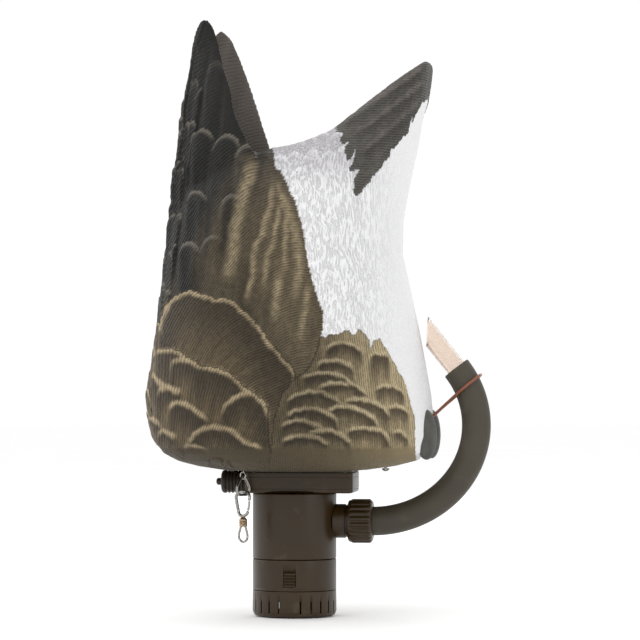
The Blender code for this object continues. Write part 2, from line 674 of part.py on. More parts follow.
def make_motor():
    can = [(2.2, 38.6), (MOTOR_R / MM, 38.6), (MOTOR_R / MM, 84.0), (15.8, 84.0), (15.8, 39.8), (2.2, 39.8)]
    finish("motor_can", turn(can, 24), steel())
    cap = [(2.6, 84.3), (MOTOR_R / MM, 84.3), (MOTOR_R / MM, 86.6), (15.5, 87.6), (2.6, 87.6)]
    finish("motor_end_cap", turn(cap, 24), black_plastic())
    finish("magnet_ring", turn(ring_profile(11.5, 15.4, 46.0, 74.0), 20), black_plastic())
    finish("lower_bearing", turn(ring_profile(1.9, 5.0, 40.1, 43.6), 16), brass())
    finish("upper_bearing", turn(ring_profile(1.9, 5.0, 80.6, 84.0), 16), brass())
    finish("armature", turn(ring_profile(1.9, 10.6, 48.0, 72.0), 20), copper())
    finish("commutator", turn(ring_profile(1.9, 4.4, 73.0, 79.6), 16), copper())
    for name, side in (("near_brush", -1), ("far_brush", 1)):
        low_y, high_y = sorted((side * 4.8 * MM, side * 11.0 * MM))
        finish(name, block((-1.6 * MM, low_y, 74.6 * MM), (1.6 * MM, high_y, 78.0 * MM)), black_plastic())
    finish("motor_shaft", turn(disc_profile(SHAFT_R / MM, 24.4, 83.0), 12), steel())
    finish("shaft_seal", turn(ring_profile(1.95, 6.0, 35.3, 38.3), 16), black_rubber())
    plate = finish("diffuser_plate", turn(ring_profile(6.3, 25.5, 36.0, 38.2), 24), brown_plastic())
    ports = bmesh.new()
    for k in range(DIFFUSER_PORTS):
        angle = 2 * pi * k / DIFFUSER_PORTS
        spot = (DIFFUSER_PORT_CIRCLE * cos(angle), DIFFUSER_PORT_CIRCLE * sin(angle), 0)
        merge(ports, turn(disc_profile(2.6, 34.0, 40.0), 8, spot))
    combine(plate, finish("diffuser_port_form", ports, brown_plastic()))
    o_ring = [(27.75 + 0.5 * cos(2 * pi * k / 6), 44.8 + 0.5 * sin(2 * pi * k / 6)) for k in range(6)]
    finish("housing_o_ring", turn(o_ring, 28), black_rubber())


def make_impeller():
    """Back plate and hub with straight radial vanes under the plate."""
    hub = [(1.9, 24.6), (5.0, 24.6), (5.0, 30.6), (20.0, 30.6), (20.0, 32.6), (1.9, 32.6)]
    impeller = finish("impeller", turn(hub, 24), black_plastic())
    vanes = bmesh.new()
    for k in range(IMPELLER_VANES):
        vane = block((3.4 * MM, -1 * MM, 24.4 * MM), (19.0 * MM, 1 * MM, 31.4 * MM))
        bmesh.ops.rotate(vane, verts=vane.verts, matrix=Matrix.Rotation(2 * pi * k / IMPELLER_VANES, 3, "Z"))
        merge(vanes, vane)
    combine(impeller, finish("vane_form", vanes, black_plastic()), "UNION")


# ---- outlet, hose, nozzle ---------------------------------------------------------------------
def make_nut():
    """A gland nut with grip ribs, a thread bore at the pump side and a hose hole at the other."""
    ribs = NUT_RIBS * 2
    crest = NUT_R / MM
    stations = [(40.8, crest - 1.1, crest - 1.1), (41.8, crest - 0.3, crest - 0.9),
                (57.2, crest, crest - 0.9), (58.6, crest - 1.0, crest - 1.4),
                (59.0, crest - 2.0, crest - 2.0)]
    rings = []
    for x, high, low in stations:
        ring = []
        for i in range(ribs):
            radius = (high if i % 2 else low) * MM
            angle = 2 * pi * (i + 0.5) / ribs
            ring.append((x * MM, radius * sin(angle), OUTLET_Z + radius * cos(angle)))
        rings.append(ring)
    for x, radius in [(59.0, 11.1), (53.4, 11.1), (53.4, 13.1), (40.8, 13.1)]:
        ring = []
        for i in range(ribs):
            angle = 2 * pi * (i + 0.5) / ribs
            ring.append((x * MM, radius * MM * sin(angle), OUTLET_Z + radius * MM * cos(angle)))
        rings.append(ring)
    finish("outlet_nut", loft(rings, closed=True), brown_plastic(), (NUT_X[0], 0, OUTLET_Z))
    seal = turn(ring_profile(11.1, 12.6, 50.0, 53.0), 20, (0, 0, OUTLET_Z), "X")
    finish("hose_seal", seal, black_rubber())


def hose_point(angle):
    """A point on the hose's bend: a quarter-and-more of an ellipse."""
    return Vector((HOSE_ARC_CENTRE[0] + HOSE_ARC_RADII[0] * sin(angle), 0,
                   HOSE_ARC_CENTRE[1] - HOSE_ARC_RADII[1] * cos(angle)))


def hose_direction(angle):
    return Vector((HOSE_ARC_RADII[0] * cos(angle), 0, HOSE_ARC_RADII[1] * sin(angle))).normalized()


def make_hose():
    path = [Vector((HOSE_START_X, 0, OUTLET_Z))]
    path += [hose_point(HOSE_ARC_END * k / HOSE_SPANS) for k in range(HOSE_SPANS + 1)]
    finish("hose", pipe(path, HOSE_R, HOSE_BORE_R, 12), black_rubber())


def make_nozzle():
    """A clear tube pushed into the hose's end, with its mouth cut on the slant."""
    end = hose_point(HOSE_ARC_END)
    along = hose_direction(HOSE_ARC_END)
    side = Vector((0, 1, 0))
    across = side.cross(along).normalized()
    if across.x < 0:
        across = -across
    sides = 16
    slope = (NOZZLE_LONG - NOZZLE_SHORT) / (2 * NOZZLE_R)
    rings = []
    for radius, mouth in ((NOZZLE_R, False), (NOZZLE_R, True), (NOZZLE_BORE_R, True), (NOZZLE_BORE_R, False)):
        ring = []
        for i in range(sides):
            angle = 2 * pi * i / sides
            reach = across * cos(angle) * radius + side * sin(angle) * radius
            length = -NOZZLE_INSERT
            if mouth:
                length = (NOZZLE_LONG + NOZZLE_SHORT) / 2 + slope * cos(angle) * radius
            ring.append(end + along * length + reach)
        rings.append(ring)
    finish("nozzle", loft(rings, closed=True), clear_plastic(), end)


def make_tie_wire():
    """One wire that leaves the belly, goes round the hose and comes back beside its start."""
    centre = hose_point(TIE_ANGLE)
    along = hose_direction(TIE_ANGLE)
    out = Vector((along.z, 0, -along.x))
    out.rotate(Matrix.Rotation(-TIE_TILT, 3, "Y"))
    side = Vector((0, -1, 0))
    near_end = [Vector((104.9, -3.0, 150.0)) * MM, Vector((111.0, -2.6, 155.5)) * MM]
    far_end = [Vector((p.x, -p.y, p.z)) for p in reversed(near_end)]
    points = list(near_end)
    for step in range(2, 15):
        angle = 2 * pi * step / 16
        points.append(centre - out * cos(angle) * TIE_RING_R * 1.03 + side * sin(angle) * TIE_RING_R)
    points += far_end
    finish("tie_wire", rod(smooth_curve(points, 1), TIE_WIRE_R, 6), copper())


# ---- anchor tackle ----------------------------------------------------------------------------
def tackle_point(along_hook, along_ring, z):
    """A point from its offsets in the hook's plane and in the ring's plane."""
    hook_way = Vector((cos(TACKLE_TURN), sin(TACKLE_TURN), 0))
    ring_way = Vector((sin(TACKLE_TURN), -cos(TACKLE_TURN), 0))
    return Vector((*TACKLE_XY, z)) + hook_way * along_hook + ring_way * along_ring


def wire_loop(half_width, half_height, centre_z):
    """The centre line of an upright oval loop in the hook's plane."""
    loop = []
    for k in range(LOOP_POINTS):
        angle = 2 * pi * k / LOOP_POINTS
        loop.append(tackle_point(half_width * sin(angle), 0, centre_z + half_height * cos(angle)))
    return loop


def make_eyelet():
    """A screw eye in the shell's floor; its loop lies in the hook's plane."""
    loop = wire_loop(EYELET_R, EYELET_R, EYELET_Z)
    eyelet = finish("anchor_eyelet", rod(loop, EYELET_WIRE_R, 6, closed=True), steel())
    shank = turn(disc_profile(0.95, 107.4, 112.0), 10, (*TACKLE_XY, 0))
    combine(eyelet, finish("eyelet_shank_form", shank, steel()), "UNION")
    profile = [(0, 107.8), (1.8, 108.2), (2.9, 109.6), (2.9, 110.2), (1.2, 110.2), (1.2, 118.0), (0, 119.0)]
    finish("underside_screw", turn(profile, 12, (BELLY_SCREW_X, 0, 0)), steel())


def make_tackle_ring():
    half = RING_HALF_WIDTH
    apex = RING_TOP_Z
    foot = RING_BOTTOM_Z
    corners = [(0, apex), (1.5 * MM, apex - 1.2 * MM), (half * 0.62, apex - 7.5 * MM),
               (half, foot + 3.2 * MM), (half - 1.0 * MM, foot + 0.5 * MM), (half * 0.5, foot), (0, foot)]
    outline = corners + [(-s, z) for s, z in corners[-2:0:-1]]
    path = smooth_curve([tackle_point(0, s, z) for s, z in outline], 2, closed=True)
    finish("tackle_ring", rod(path, RING_WIRE_R, 6, closed=True), steel(),
           tackle_point(0, 0, EYELET_Z - EYELET_R))


def make_snap_hook():
    """The hook's frame: a straight bar, the bow over the ring and the foot; the gate is apart."""
    outline = [(5.9, 87.5), (6.2, 89.6), (5.0, 92.0), (2.4, 93.3), (-1.2, 93.5), (-4.8, 92.3), (-6.8, 89.6),
               (-6.4, 86.0), (-5.2, 81.0), (-3.9, 76.8), (-1.8, 75.5), (1.0, 75.6), (3.4, 77.0), (4.6, 78.4)]
    path = smooth_curve([tackle_point(s * MM, 0, z * MM) for s, z in outline], 2)
    finish("snap_hook", rod(path, HOOK_WIRE_R, 6), steel(), tackle_point(0, 0, RING_BOTTOM_Z))
    gate_line = [(4.9, 79.9), (5.6, 83.0), (5.9, 86.0)]
    gate = smooth_curve([tackle_point(s * MM, 0, z * MM) for s, z in gate_line], 2)
    finish("snap_gate", rod(gate, GATE_WIRE_R, 8), steel(), gate[0])


def make_swivel():
    """Barrel and lower eye: the barrel's neck hangs from the hook's foot, the eye turns in it."""
    finish("swivel_barrel", turn([(0, 68.4), (2.4, 68.4), (3.0, 69.4), (3.0, 71.8), (2.0, 74.2), (0, 74.2)],
                                 14, (*TACKLE_XY, 0)), brass())
    loop = wire_loop(SWIVEL_EYE_RADII[0], SWIVEL_EYE_RADII[1], SWIVEL_EYE_Z)
    finish("swivel_eye", rod(loop, GATE_WIRE_R, 6, closed=True), steel(), (*TACKLE_XY, 68.0 * MM))


def build():
    clear_scene()
    screw_holes = screw_hole_cutter()
    make_body_shell(screw_holes)
    make_feet()
    make_mounting_box(screw_holes)
    make_gasket(screw_holes)
    make_box_screws()
    make_electronics()
    make_battery()
    make_battery_strap()
    make_leads()
    make_switch()
    make_strainer()
    make_base_ring()
    make_latch_tabs()
    make_housing()
    make_motor()
    make_impeller()
    make_nut()
    make_hose()
    make_nozzle()
    make_tie_wire()
    make_eyelet()
    make_tackle_ring()
    make_snap_hook()
    make_swivel()


build()
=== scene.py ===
import json
from functools import cache
from math import cos, pi, radians, sin, sqrt

import bmesh
import bpy
import numpy as np
from mathutils import Matrix, Vector


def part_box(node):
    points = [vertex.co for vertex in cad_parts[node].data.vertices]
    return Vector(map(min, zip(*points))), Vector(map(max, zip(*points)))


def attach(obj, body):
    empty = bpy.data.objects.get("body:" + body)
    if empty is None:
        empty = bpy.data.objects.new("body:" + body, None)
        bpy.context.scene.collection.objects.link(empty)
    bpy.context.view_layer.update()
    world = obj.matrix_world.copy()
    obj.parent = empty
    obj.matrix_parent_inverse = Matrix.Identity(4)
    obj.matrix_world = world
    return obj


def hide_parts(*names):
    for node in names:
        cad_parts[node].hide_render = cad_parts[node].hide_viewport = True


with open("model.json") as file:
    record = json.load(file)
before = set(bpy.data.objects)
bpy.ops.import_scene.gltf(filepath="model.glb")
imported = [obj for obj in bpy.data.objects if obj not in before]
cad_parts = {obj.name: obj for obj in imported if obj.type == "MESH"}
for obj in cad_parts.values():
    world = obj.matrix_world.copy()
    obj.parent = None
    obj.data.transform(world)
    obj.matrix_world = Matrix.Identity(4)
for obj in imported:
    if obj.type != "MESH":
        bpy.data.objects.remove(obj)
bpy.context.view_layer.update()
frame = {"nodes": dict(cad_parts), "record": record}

MM = 0.001
RANDOM = np.random.default_rng(7)

# ---- camera
VIEW_AZIMUTH = radians(6.5)
VIEW_DISTANCE = 2200.0            # mm
VIEW_HEIGHT = 165.0               # mm
VIEW_AIM = (19.0, 221.0)          # mm across and up in the picture plane through the pump's axis
VIEW_SPAN = 480.0                 # mm that the square picture covers there
SENSOR_WIDTH = 36.0

# ---- shell sections in mm, as in the CAD
SECTION_POWER = 0.88
TRUNK_SECTIONS = [
    (109.0, -53, 54, 53), (112.0, -72, 76, 72), (116.0, -87, 92, 86), (122.0, -98, 103, 95),
    (134.0, -105, 106, 101), (150.0, -108.5, 104, 103), (165.0, -109.5, 102.5, 103),
    (188.0, -105.5, 98.5, 100), (215.0, -101.5, 93.5, 96), (245.0, -98, 87, 91),
    (270.0, -95, 81.5, 86), (295.0, -91, 82, 80), (315.0, -84, 85.5, 75), (329.0, -70, 88.5, 70),
    (341.0, -47, 91, 65), (346.5, -24, 92.5, 62), (349.5, -4, 93, 58), (355.0, 13, 94, 54),
    (361.5, 28, 95, 50), (373.0, 44, 97, 46), (383.5, 57, 100, 42), (395.0, 72, 102, 38),
    (402.5, 83, 103, 34), (409.5, 94, 103.5, 27), (412.5, 98, 103, 19),
]
NEAR_WING_SECTIONS = [
    (262.0, -93, 30, -20, 76, 16), (300.0, -91, 26, -8, 70, 15), (330.0, -88, 22, -18, 63, 13),
    (352.0, -84, 20, -29, 56, 12), (372.0, -82.5, 19, -39, 50, 11), (392.0, -80, 18, -43, 44, 10),
    (409.0, -76.5, 18, -49, 38, 8.5), (425.0, -75.5, 18, -53, 32, 7), (437.0, -73, 19, -57, 28, 5.5),
    (444.0, -69, 21, -61, 25, 4), (446.0, -67, 22, -64, 23.5, 2),
]
FAR_WING_SECTIONS = [
    (262.0, -93, 30, -20, 76, 16), (300.0, -91, 26, -8, 70, 15), (330.0, -87, 22, -16, 63, 13),
    (352.0, -82, 20, -25, 56, 12), (372.0, -79, 19, -31, 50, 11), (392.0, -76, 18, -37, 44, 10),
    (409.0, -72, 18, -42, 38, 8.5), (424.0, -69.5, 18, -47, 32, 7), (434.0, -66.5, 19, -51, 28, 5.5),
    (439.5, -63, 21, -55, 25, 4), (442.0, -61, 22, -58, 23.5, 2),
]
# Above the trunk the same section is carried on, so that the wings keep one set of coordinates.
SPAN_SECTIONS = [row for row in TRUNK_SECTIONS if row[0] < 312] + [
    (330.0, -88, 88.5, 70), (352.0, -84, 92.5, 62), (392.0, -80, 100, 46), (425.0, -75.5, 103, 36),
    (446.0, -69, 103.5, 30),
]
HOSE_ARC_CENTRE = (58.8, 142.4)
HOSE_ARC_RADII = (77.5, 71.7)
HOSE_ARC_END = radians(126.3)
HOSE_RADII = (10.75, 8.4)         # mm, outside and bore
OUTLET_Z = 70.7
NOZZLE_RADII = (7.6, 6.1)
NOZZLE_REACH = (26.0, 43.0)       # mm from the hose's end to the slanted mouth's near and far edge
NOZZLE_INSERT = 5.0
TIE_ANGLE = radians(114)
TIE_TILT = radians(14)
TIE_RING_R = 12.6
TIE_START = (104.9, 150.0)        # mm across and up, where both ends leave the belly
TIE_WIRE_R = 1.1
TACKLE_XY = (-34.0, -35.0)
TACKLE_TURN = radians(-33)
FOOT_CENTRE = (101.0, 24.0, 135.5)
FOOT_RADII = (6.5, 15.5, 18.5)
FOOT_TURN = radians(13)
NUT_RIBS = 22
NUT_RIB = 1.1                     # mm that a grip rib stands out
SLOT_COUNT = 24
SLOT_HALF = 0.65
PUMP_R = 31.3
TAB_RIB = 0.9
BOX_CORNER = 3.6
BOOT_FOLDS = 6
BOOT_FOLD = 0.4                   # mm, half the depth of a fold
ROUND_MM = 100.0                  # one radian round the shell counts as this many mm
RING_PITCH = 3.0
VOXEL = 1.27 * MM
SMOOTHING_PASSES = 10
NOZZLE_CLEARANCE = 0.45           # mm that the smooth belly side is set in for the nozzle to swing past
ABOVE_TRUNK = 418.5               # mm; whatever is higher belongs to a wing
WING_ROOT = 356                   # mm up in the picture plane, where the brown of the trunk ends
FRONT_ANGLE = 0.45                # radians round the shell where the feathers of the side view start
BACK_ANGLE = 0.62                 # and where those of the back end, underneath them
NOISE_GRID = 32
SOLVE_STEPS = 4
LIGHT_AIM = (0, 0, 0.22)          # metres

# ---- plumage, in picture-plane mm: (across, up)
WHITE_EDGE = [(-20, 358), (-15.5, 346), (-14.9, 337), (-2.7, 312.6), (3.3, 291.6), (7.8, 262.3),
              (14.2, 239), (18.8, 227), (18.5, 216), (16.8, 203)]
FLANK_TOP = [(-19, 112), (-15, 148), (-9, 166), (1, 177), (9, 183), (14, 191), (18.6, 206.3), (25.3, 210.7),
             (32, 211.5), (37.9, 212.6), (48.3, 212.6), (54.2, 209.2), (57.2, 201.5), (59.4, 207.4),
             (64.6, 204.8), (69.8, 197.4), (74.2, 190), (80.2, 179.6), (85.3, 163.3), (90, 147), (91, 112)]

# Feathers: tip across, tip up, half width, length, lean in degrees towards the belly, arch.
LONG_FEATHERS = [
    (-70.2, 444.6, 9, 85, -3, 1.7), (-59.0, 416.0, 9, 100, -3, 2.2), (-79.0, 404.8, 8, 80, -2, 1.5),
    (-83.0, 372.0, 7.5, 75, -2, 1.3), (-69.8, 365.0, 8.5, 80, -4, 1.2), (-51.1, 361.0, 11.5, 95, -4, 1.3),
    (-36.5, 354.0, 9, 105, -14, 1.8), (-84.5, 347.0, 6.5, 75, -2, 1.3), (-24.5, 344.0, 8, 105, -18, 2.0),
    (-14.7, 334.0, 7.5, 105, -20, 2.0), (-91.6, 325.5, 7, 70, 0, 1.3), (-74.7, 318.6, 8.5, 80, -4, 1.4),
    (-5.7, 315.0, 7.5, 105, -17, 2.0), (-47.0, 316.0, 10, 85, -8, 1.6), (-25.5, 303.0, 9, 90, -14, 1.8),
    (-93.5, 296.0, 7, 65, 0, 1.3), (1.8, 292.3, 7.5, 100, -14, 2.0), (-61.2, 285.0, 10, 75, -6, 1.5),
    (-12.0, 277.0, 9, 85, -13, 1.8), (7.0, 264.6, 7.5, 85, -13, 2.0), (-36.0, 268.0, 10, 70, -10, 1.6),
    (-79.0, 280.0, 8.5, 60, -2, 1.4), (13.0, 240.6, 7, 70, -11, 1.9), (-3.0, 246.0, 8, 70, -11, 1.8),
    (18.5, 226.0, 6, 55, -9, 1.9),
]
# Crest lines of the folded wing and the flank, in the side view: points (across, up), then reach down.
COVERT_CRESTS = [
    ([(-106, 176), (-103.5, 196), (-100.5, 214), (-96, 229), (-89, 237.6), (-82.4, 241.3), (-77.3, 242.6),
      (-70.7, 240), (-63.7, 238.5), (-58.1, 236.2), (-51.6, 237.1), (-45.1, 233.9), (-38.5, 227.8),
      (-31.1, 220.8), (-25.5, 214.7), (-20.8, 206.3), (-14.3, 198.9), (-7.8, 190.5), (-2.2, 185.8),
      (2, 178)], 66),
    ([(-106, 206), (-102, 213), (-98.5, 216), (-96, 210)], 26),
    ([(-104, 196), (-96.4, 198.9), (-88.9, 198.9), (-82.4, 194.2), (-75.9, 190.5), (-71.2, 186.8),
      (-63.7, 184.9), (-56.3, 184.4), (-48.8, 181.2), (-42.3, 175.6), (-36.7, 169), (-30.2, 166.2),
      (-24.6, 161.6), (-20.8, 155), (-17.1, 143)], 52),
    ([(-93.5, 183), (-92.6, 187.7), (-88.9, 190.5), (-82.4, 191.9), (-75.9, 190.5), (-71.2, 186)], 34),
    ([(-109, 179), (-104.3, 180.2), (-101, 175.6), (-96.4, 172.8), (-87.1, 169), (-82.4, 168)], 34),
    ([(-102.8, 164), (-99.2, 170.4), (-93.6, 170.2), (-84.3, 166.6)], 26),
    ([(-56, 151), (-51, 158), (-46.9, 161.6), (-39.5, 166.2), (-34, 165)], 30),
    ([(-95, 152), (-91.7, 158.8), (-87.1, 160.2), (-80.5, 158.8), (-74.9, 155), (-69.3, 151.3),
      (-63.7, 147)], 36),
    ([(-109, 148), (-105.7, 147.8), (-101, 145.6), (-97, 141)], 20),
    ([(-103, 135), (-97.3, 139.4), (-91.7, 136), (-86, 134)], 16),
    ([(-81.5, 129), (-73.1, 137.3), (-66.5, 140.6), (-59.1, 142), (-50.7, 140.6), (-43.2, 137.3),
      (-37.6, 131.7), (-30.2, 128), (-22, 124)], 24),
    ([(-85, 124), (-82.4, 127), (-75.9, 128.2), (-68.4, 126), (-62, 122)], 12),
]
FLANK_CRESTS = [
    ([(21, 199), (29.7, 203.3), (36.4, 204.4), (43.8, 202.6), (48.3, 199.6), (53, 195)], 18),
    ([(53.5, 191), (57.9, 195.9), (63.1, 196.6), (68.3, 195.1), (73, 190)], 30),
    ([(15, 187), (21.6, 190.7), (29, 191.1), (36.4, 190), (41.6, 187), (46.5, 181)], 15),
    ([(4, 177.5), (13.4, 181.1), (21.6, 181.4), (29, 181.1), (35.7, 178.8), (40.9, 175.1), (46.8, 171.4),
      (56, 165)], 16),
    ([(16, 171), (26, 173.6), (33.4, 173.6), (42, 172.4)], 14),
    ([(58, 169.5), (64.6, 172.2), (72, 172.2), (78.7, 169.2), (84, 164)], 20),
    ([(-7, 160.5), (2.3, 166.2), (11.2, 167.7), (18.6, 167.7), (23.8, 165.9), (29, 162.5), (36, 159)], 16),
    ([(36, 160.5), (45.3, 162.2), (52.7, 161.4), (60.1, 159.2), (66.1, 155.9), (71.3, 150.7), (76, 143)],
      20),
    ([(67, 155.5), (75, 157.3), (80.9, 155.9), (87, 151)], 20),
    ([(23, 154), (33.4, 156.6), (40.9, 156.2), (48.3, 154.4), (55.7, 150.7), (60.1, 146.2), (64, 140)], 18),
    ([(-8, 149.5), (1.6, 154), (9, 155.5), (16.4, 154.7), (23.1, 152.5), (29, 148.8), (34, 142)], 16),
    ([(-12, 140.5), (-5.1, 145.5), (1.6, 147), (8.2, 145.5), (14.2, 143.3), (23, 139.8)], 13),
    ([(37, 138), (46.1, 140.7), (55.7, 140.3), (64.6, 138.8), (68.3, 135.1), (73, 128)], 18),
    ([(9, 137), (20.1, 139.2), (27.5, 138.4), (34.9, 136.2), (39.4, 132.9), (44, 127)], 14),
    ([(71, 137), (77.9, 138.4), (82.4, 135.8), (87, 130)], 16),
    ([(-11, 130.5), (-3.6, 134), (5.3, 135.1), (13.4, 134.4), (20.1, 132.1), (27, 128)], 12),
]
TAIL_CRESTS = [
    ([(36, 370), (52, 381), (70, 393), (98, 413)], 12),
    ([(44, 362), (60, 372), (78, 386), (99, 403)], 12),
    ([(50, 348), (64, 360), (80, 374), (95, 388)], 14),
]
TAIL_PATCH = [(27, 374), (31, 368.6), (31, 362.3), (35, 361.8), (36.2, 353.3), (40.5, 356), (37.8, 348.1),
              (39.4, 340.7), (45.2, 349.5), (41.5, 332.3), (47.3, 334.5), (43.6, 315.5), (46.8, 314.4),
              (55.2, 322.9), (62.6, 333.4), (74.1, 349.1), (84.7, 362.8), (91, 377.5), (104, 392), (112, 400),
              (112, 440), (20, 440)]

# Pale raised streaks down the wing: points from the lower end to the upper end, and half width.
WING_RIDGES = [
    ([(-50, 252), (-46.8, 268.1), (-45.8, 278.6), (-44.7, 291.2), (-40.5, 302.8), (-39.4, 313.3),
      (-34.2, 326), (-32.1, 336.5), (-33.1, 346)], 4.2),
    ([(-32.1, 250), (-31, 268.1), (-28.9, 277.6), (-23.7, 283.9), (-21.6, 296.5), (-17.3, 310.2),
      (-15.2, 325)], 2.2),
    ([(-23, 246), (-20.5, 268.1), (-16.3, 278.6), (-13.1, 294.4), (-10, 313)], 1.9),
    ([(-8, 256), (-6.8, 283.9), (-5.8, 300.7), (-10, 313.3), (-13.1, 326)], 1.9),
    ([(0.6, 240), (3.7, 259.7), (2.7, 273.4), (-0.5, 289.1), (-5.8, 304.9), (-12.1, 322)], 2.8),
    ([(-15, 222), (-14.2, 231.3), (-13.1, 247), (-11, 258)], 2.8),
    ([(4, 208), (5.8, 220.7), (9, 231.3), (10, 250)], 2.4),
    ([(-36, 236), (-33, 247), (-30, 260)], 2.2),
]
BROAD_FOLD = 60                   # mm; a fold that reaches further down has the broad fold's barbs
BARB_PITCH = 1.9
# How the barbs slope from the back to the belly: places across, slopes in degrees, and the spot that the fan
# is measured from.
LONG_BARBS = ([-90, -40, 10], [58, 42, 14], (-40, 300))
BROAD_BARBS = ([-95, -70, -45, -20], [64, 54, 38, 24], (-55, 215))
LOW_BARBS = ([-100, -60, -20], [88, 74, 62], (-60, 160))
# The line where the charcoal of the back gives way to brown.
CHARCOAL_UP = [225, 250, 300, 345, 385]
CHARCOAL_ACROSS = [-100, -84, -60, -38, 10]
# Colours from 0 to 255: of the long feathers at heights, and of the hem at places across.
LONG_HEIGHTS = [125, 200, 250, 300, 350, 400]
LONG_TONES = [(84, 74, 56), (86, 76, 58), (88, 77, 59), (88, 78, 61), (76, 69, 59), (62, 59, 54)]
HEM_PLACES = [-100, -20, 40, 90]
HEM_TONES = [(58, 50, 34), (64, 55, 38), (80, 69, 49), (122, 108, 80)]
LONG, COVERT, FLANK, WHITE, TAIL = range(5)     # kinds of feather


# ---- numbers and fields
def colour(red, green, blue):
    """Linear colour from the usual 0-255 one."""
    parts = np.array([red, green, blue]) / 255.0
    return np.where(parts <= 0.04045, parts / 12.92, ((parts + 0.055) / 1.055) ** 2.4)


def smoothstep(low, high, value):
    share = np.clip((value - low) / (high - low), 0.0, 1.0)
    return share * share * (3.0 - 2.0 * share)


def blend_in(base, other, share):
    """Mix colours row by row."""
    return base + (other - base) * share[:, None]


def section(rows, heights, column):
    return np.interp(heights, [row[0] for row in rows], [row[column] for row in rows])


def value_noise(points, size, seed):
    """Smooth repeatable noise from 0 to 1 at points in mm."""
    grid = np.random.default_rng(seed).random((NOISE_GRID,) * 3)
    place = points / size
    base = np.floor(place).astype(int)
    part = place - base
    part = part * part * (3 - 2 * part)
    total = np.zeros(len(points))
    for corner in np.ndindex(2, 2, 2):
        weight = np.where(corner, part, 1 - part).prod(axis=1)
        total += weight * grid[tuple(((base + corner) % NOISE_GRID).T)]
    return total


def sideways(points):
    """How far to the right points of the near side are seen, before perspective."""
    return points[:, 0] * cos(VIEW_AZIMUTH) - np.abs(points[:, 1]) * sin(VIEW_AZIMUTH)


def picture_place(points):
    """Where points of the near side land in the upright plane through the pump's axis, in mm."""
    depth = VIEW_DISTANCE - points[:, 0] * sin(VIEW_AZIMUTH) - np.abs(points[:, 1]) * cos(VIEW_AZIMUTH)
    scale = VIEW_DISTANCE / depth
    across = VIEW_AIM[0] + (sideways(points) - VIEW_AIM[0]) * scale
    return across, VIEW_HEIGHT + (points[:, 2] - VIEW_HEIGHT) * scale


def outline_at(rows, heights):
    """Middle, half depth and half width of a section at each height."""
    back, belly, half_width = (section(rows, heights, column) for column in (1, 2, 3))
    return (back + belly) / 2, (belly - back) / 2, half_width


def angle_from_across(across, heights):
    """The angle round the shell, 0 on the back and pi on the belly, of a near-side point."""
    middle, half_depth, half_width = outline_at(SPAN_SECTIONS, heights)
    forward = half_depth * cos(VIEW_AZIMUTH)
    aside = half_width * sin(VIEW_AZIMUTH)
    power = 2 / SECTION_POWER
    angle = np.full_like(forward, pi / 2)
    for _ in range(SOLVE_STEPS):
        bulge = (np.abs(np.cos(angle)) ** power + np.abs(np.sin(angle)) ** power) ** (-1 / power)
        share = (middle * cos(VIEW_AZIMUTH) - across) / (np.hypot(forward, aside) * bulge)
        angle = np.arccos(np.clip(share, -0.999, 0.999)) + np.arctan2(aside, forward)
    return angle


def place_on_shell(across, up):
    """(round, height) in mm of spots given in the picture plane."""
    height = up.copy()
    true_across = across.copy()
    for _ in range(SOLVE_STEPS):
        angle = angle_from_across(true_across, height)
        near = outline_at(SPAN_SECTIONS, height)[2] * np.sin(angle)
        scale = (VIEW_DISTANCE - near) / VIEW_DISTANCE
        true_across = VIEW_AIM[0] + (across - VIEW_AIM[0]) * scale
        height = VIEW_HEIGHT + (up - VIEW_HEIGHT) * scale
    return angle * ROUND_MM, height


# ---- shell
def squared_off(value):
    """A cosine or sine bent so that a section is fuller or flatter than an ellipse."""
    return np.sign(value) * np.abs(value) ** SECTION_POWER


def trunk_rings():
    heights = np.arange(TRUNK_SECTIONS[0][0], TRUNK_SECTIONS[-1][0], RING_PITCH)
    heights = np.unique(np.concatenate([heights, [row[0] for row in TRUNK_SECTIONS]]))
    turn = np.linspace(0, 2 * pi, 144, endpoint=False)
    rings = []
    for height in heights:
        middle, half_depth, half_width = outline_at(TRUNK_SECTIONS, height)
        x = middle + half_depth * squared_off(np.cos(turn))
        y = half_width * squared_off(np.sin(turn))
        rings.append(np.stack([x, y, np.full_like(x, height)], 1))
    return rings


def wing_rings(sections, side):
    heights = np.arange(sections[0][0], sections[-1][0] + 0.1, RING_PITCH)
    turn = np.linspace(0, 2 * pi, 48, endpoint=False)
    rings = []
    for height in heights:
        back_x, back_y, front_x, front_y, thick = (float(section(sections, height, k)) for k in range(1, 6))
        back = np.array([back_x, side * back_y])
        front = np.array([front_x, side * front_y])
        along = (front - back) / 2
        across = np.array([-along[1], along[0]]) / np.hypot(*along) * thick / 2
        flat = (front + back) / 2 + np.outer(np.cos(turn), along) + np.outer(np.sin(turn), across)
        rings.append(np.column_stack([flat, np.full(len(turn), height)]))
    return rings


def link(name, data):
    """A new object in the scene."""
    obj = bpy.data.objects.new(name, data)
    bpy.context.scene.collection.objects.link(obj)
    return obj


def outward_mesh(name, verts, faces):
    """A mesh from points in mm, its faces turned outwards."""
    mesh = bpy.data.meshes.new(name)
    mesh.from_pydata((np.asarray(verts, float) * MM).tolist(), [], faces)
    bm = bmesh.new()
    bm.from_mesh(mesh)
    bmesh.ops.recalc_face_normals(bm, faces=bm.faces)
    bm.to_mesh(mesh)
    bm.free()
    return mesh


def modified_mesh(obj):
    """A new mesh with the object's modifiers applied."""
    return bpy.data.meshes.new_from_object(obj.evaluated_get(bpy.context.evaluated_depsgraph_get()))


def discard(obj):
    mesh = obj.data
    bpy.data.objects.remove(obj)
    bpy.data.meshes.remove(mesh)


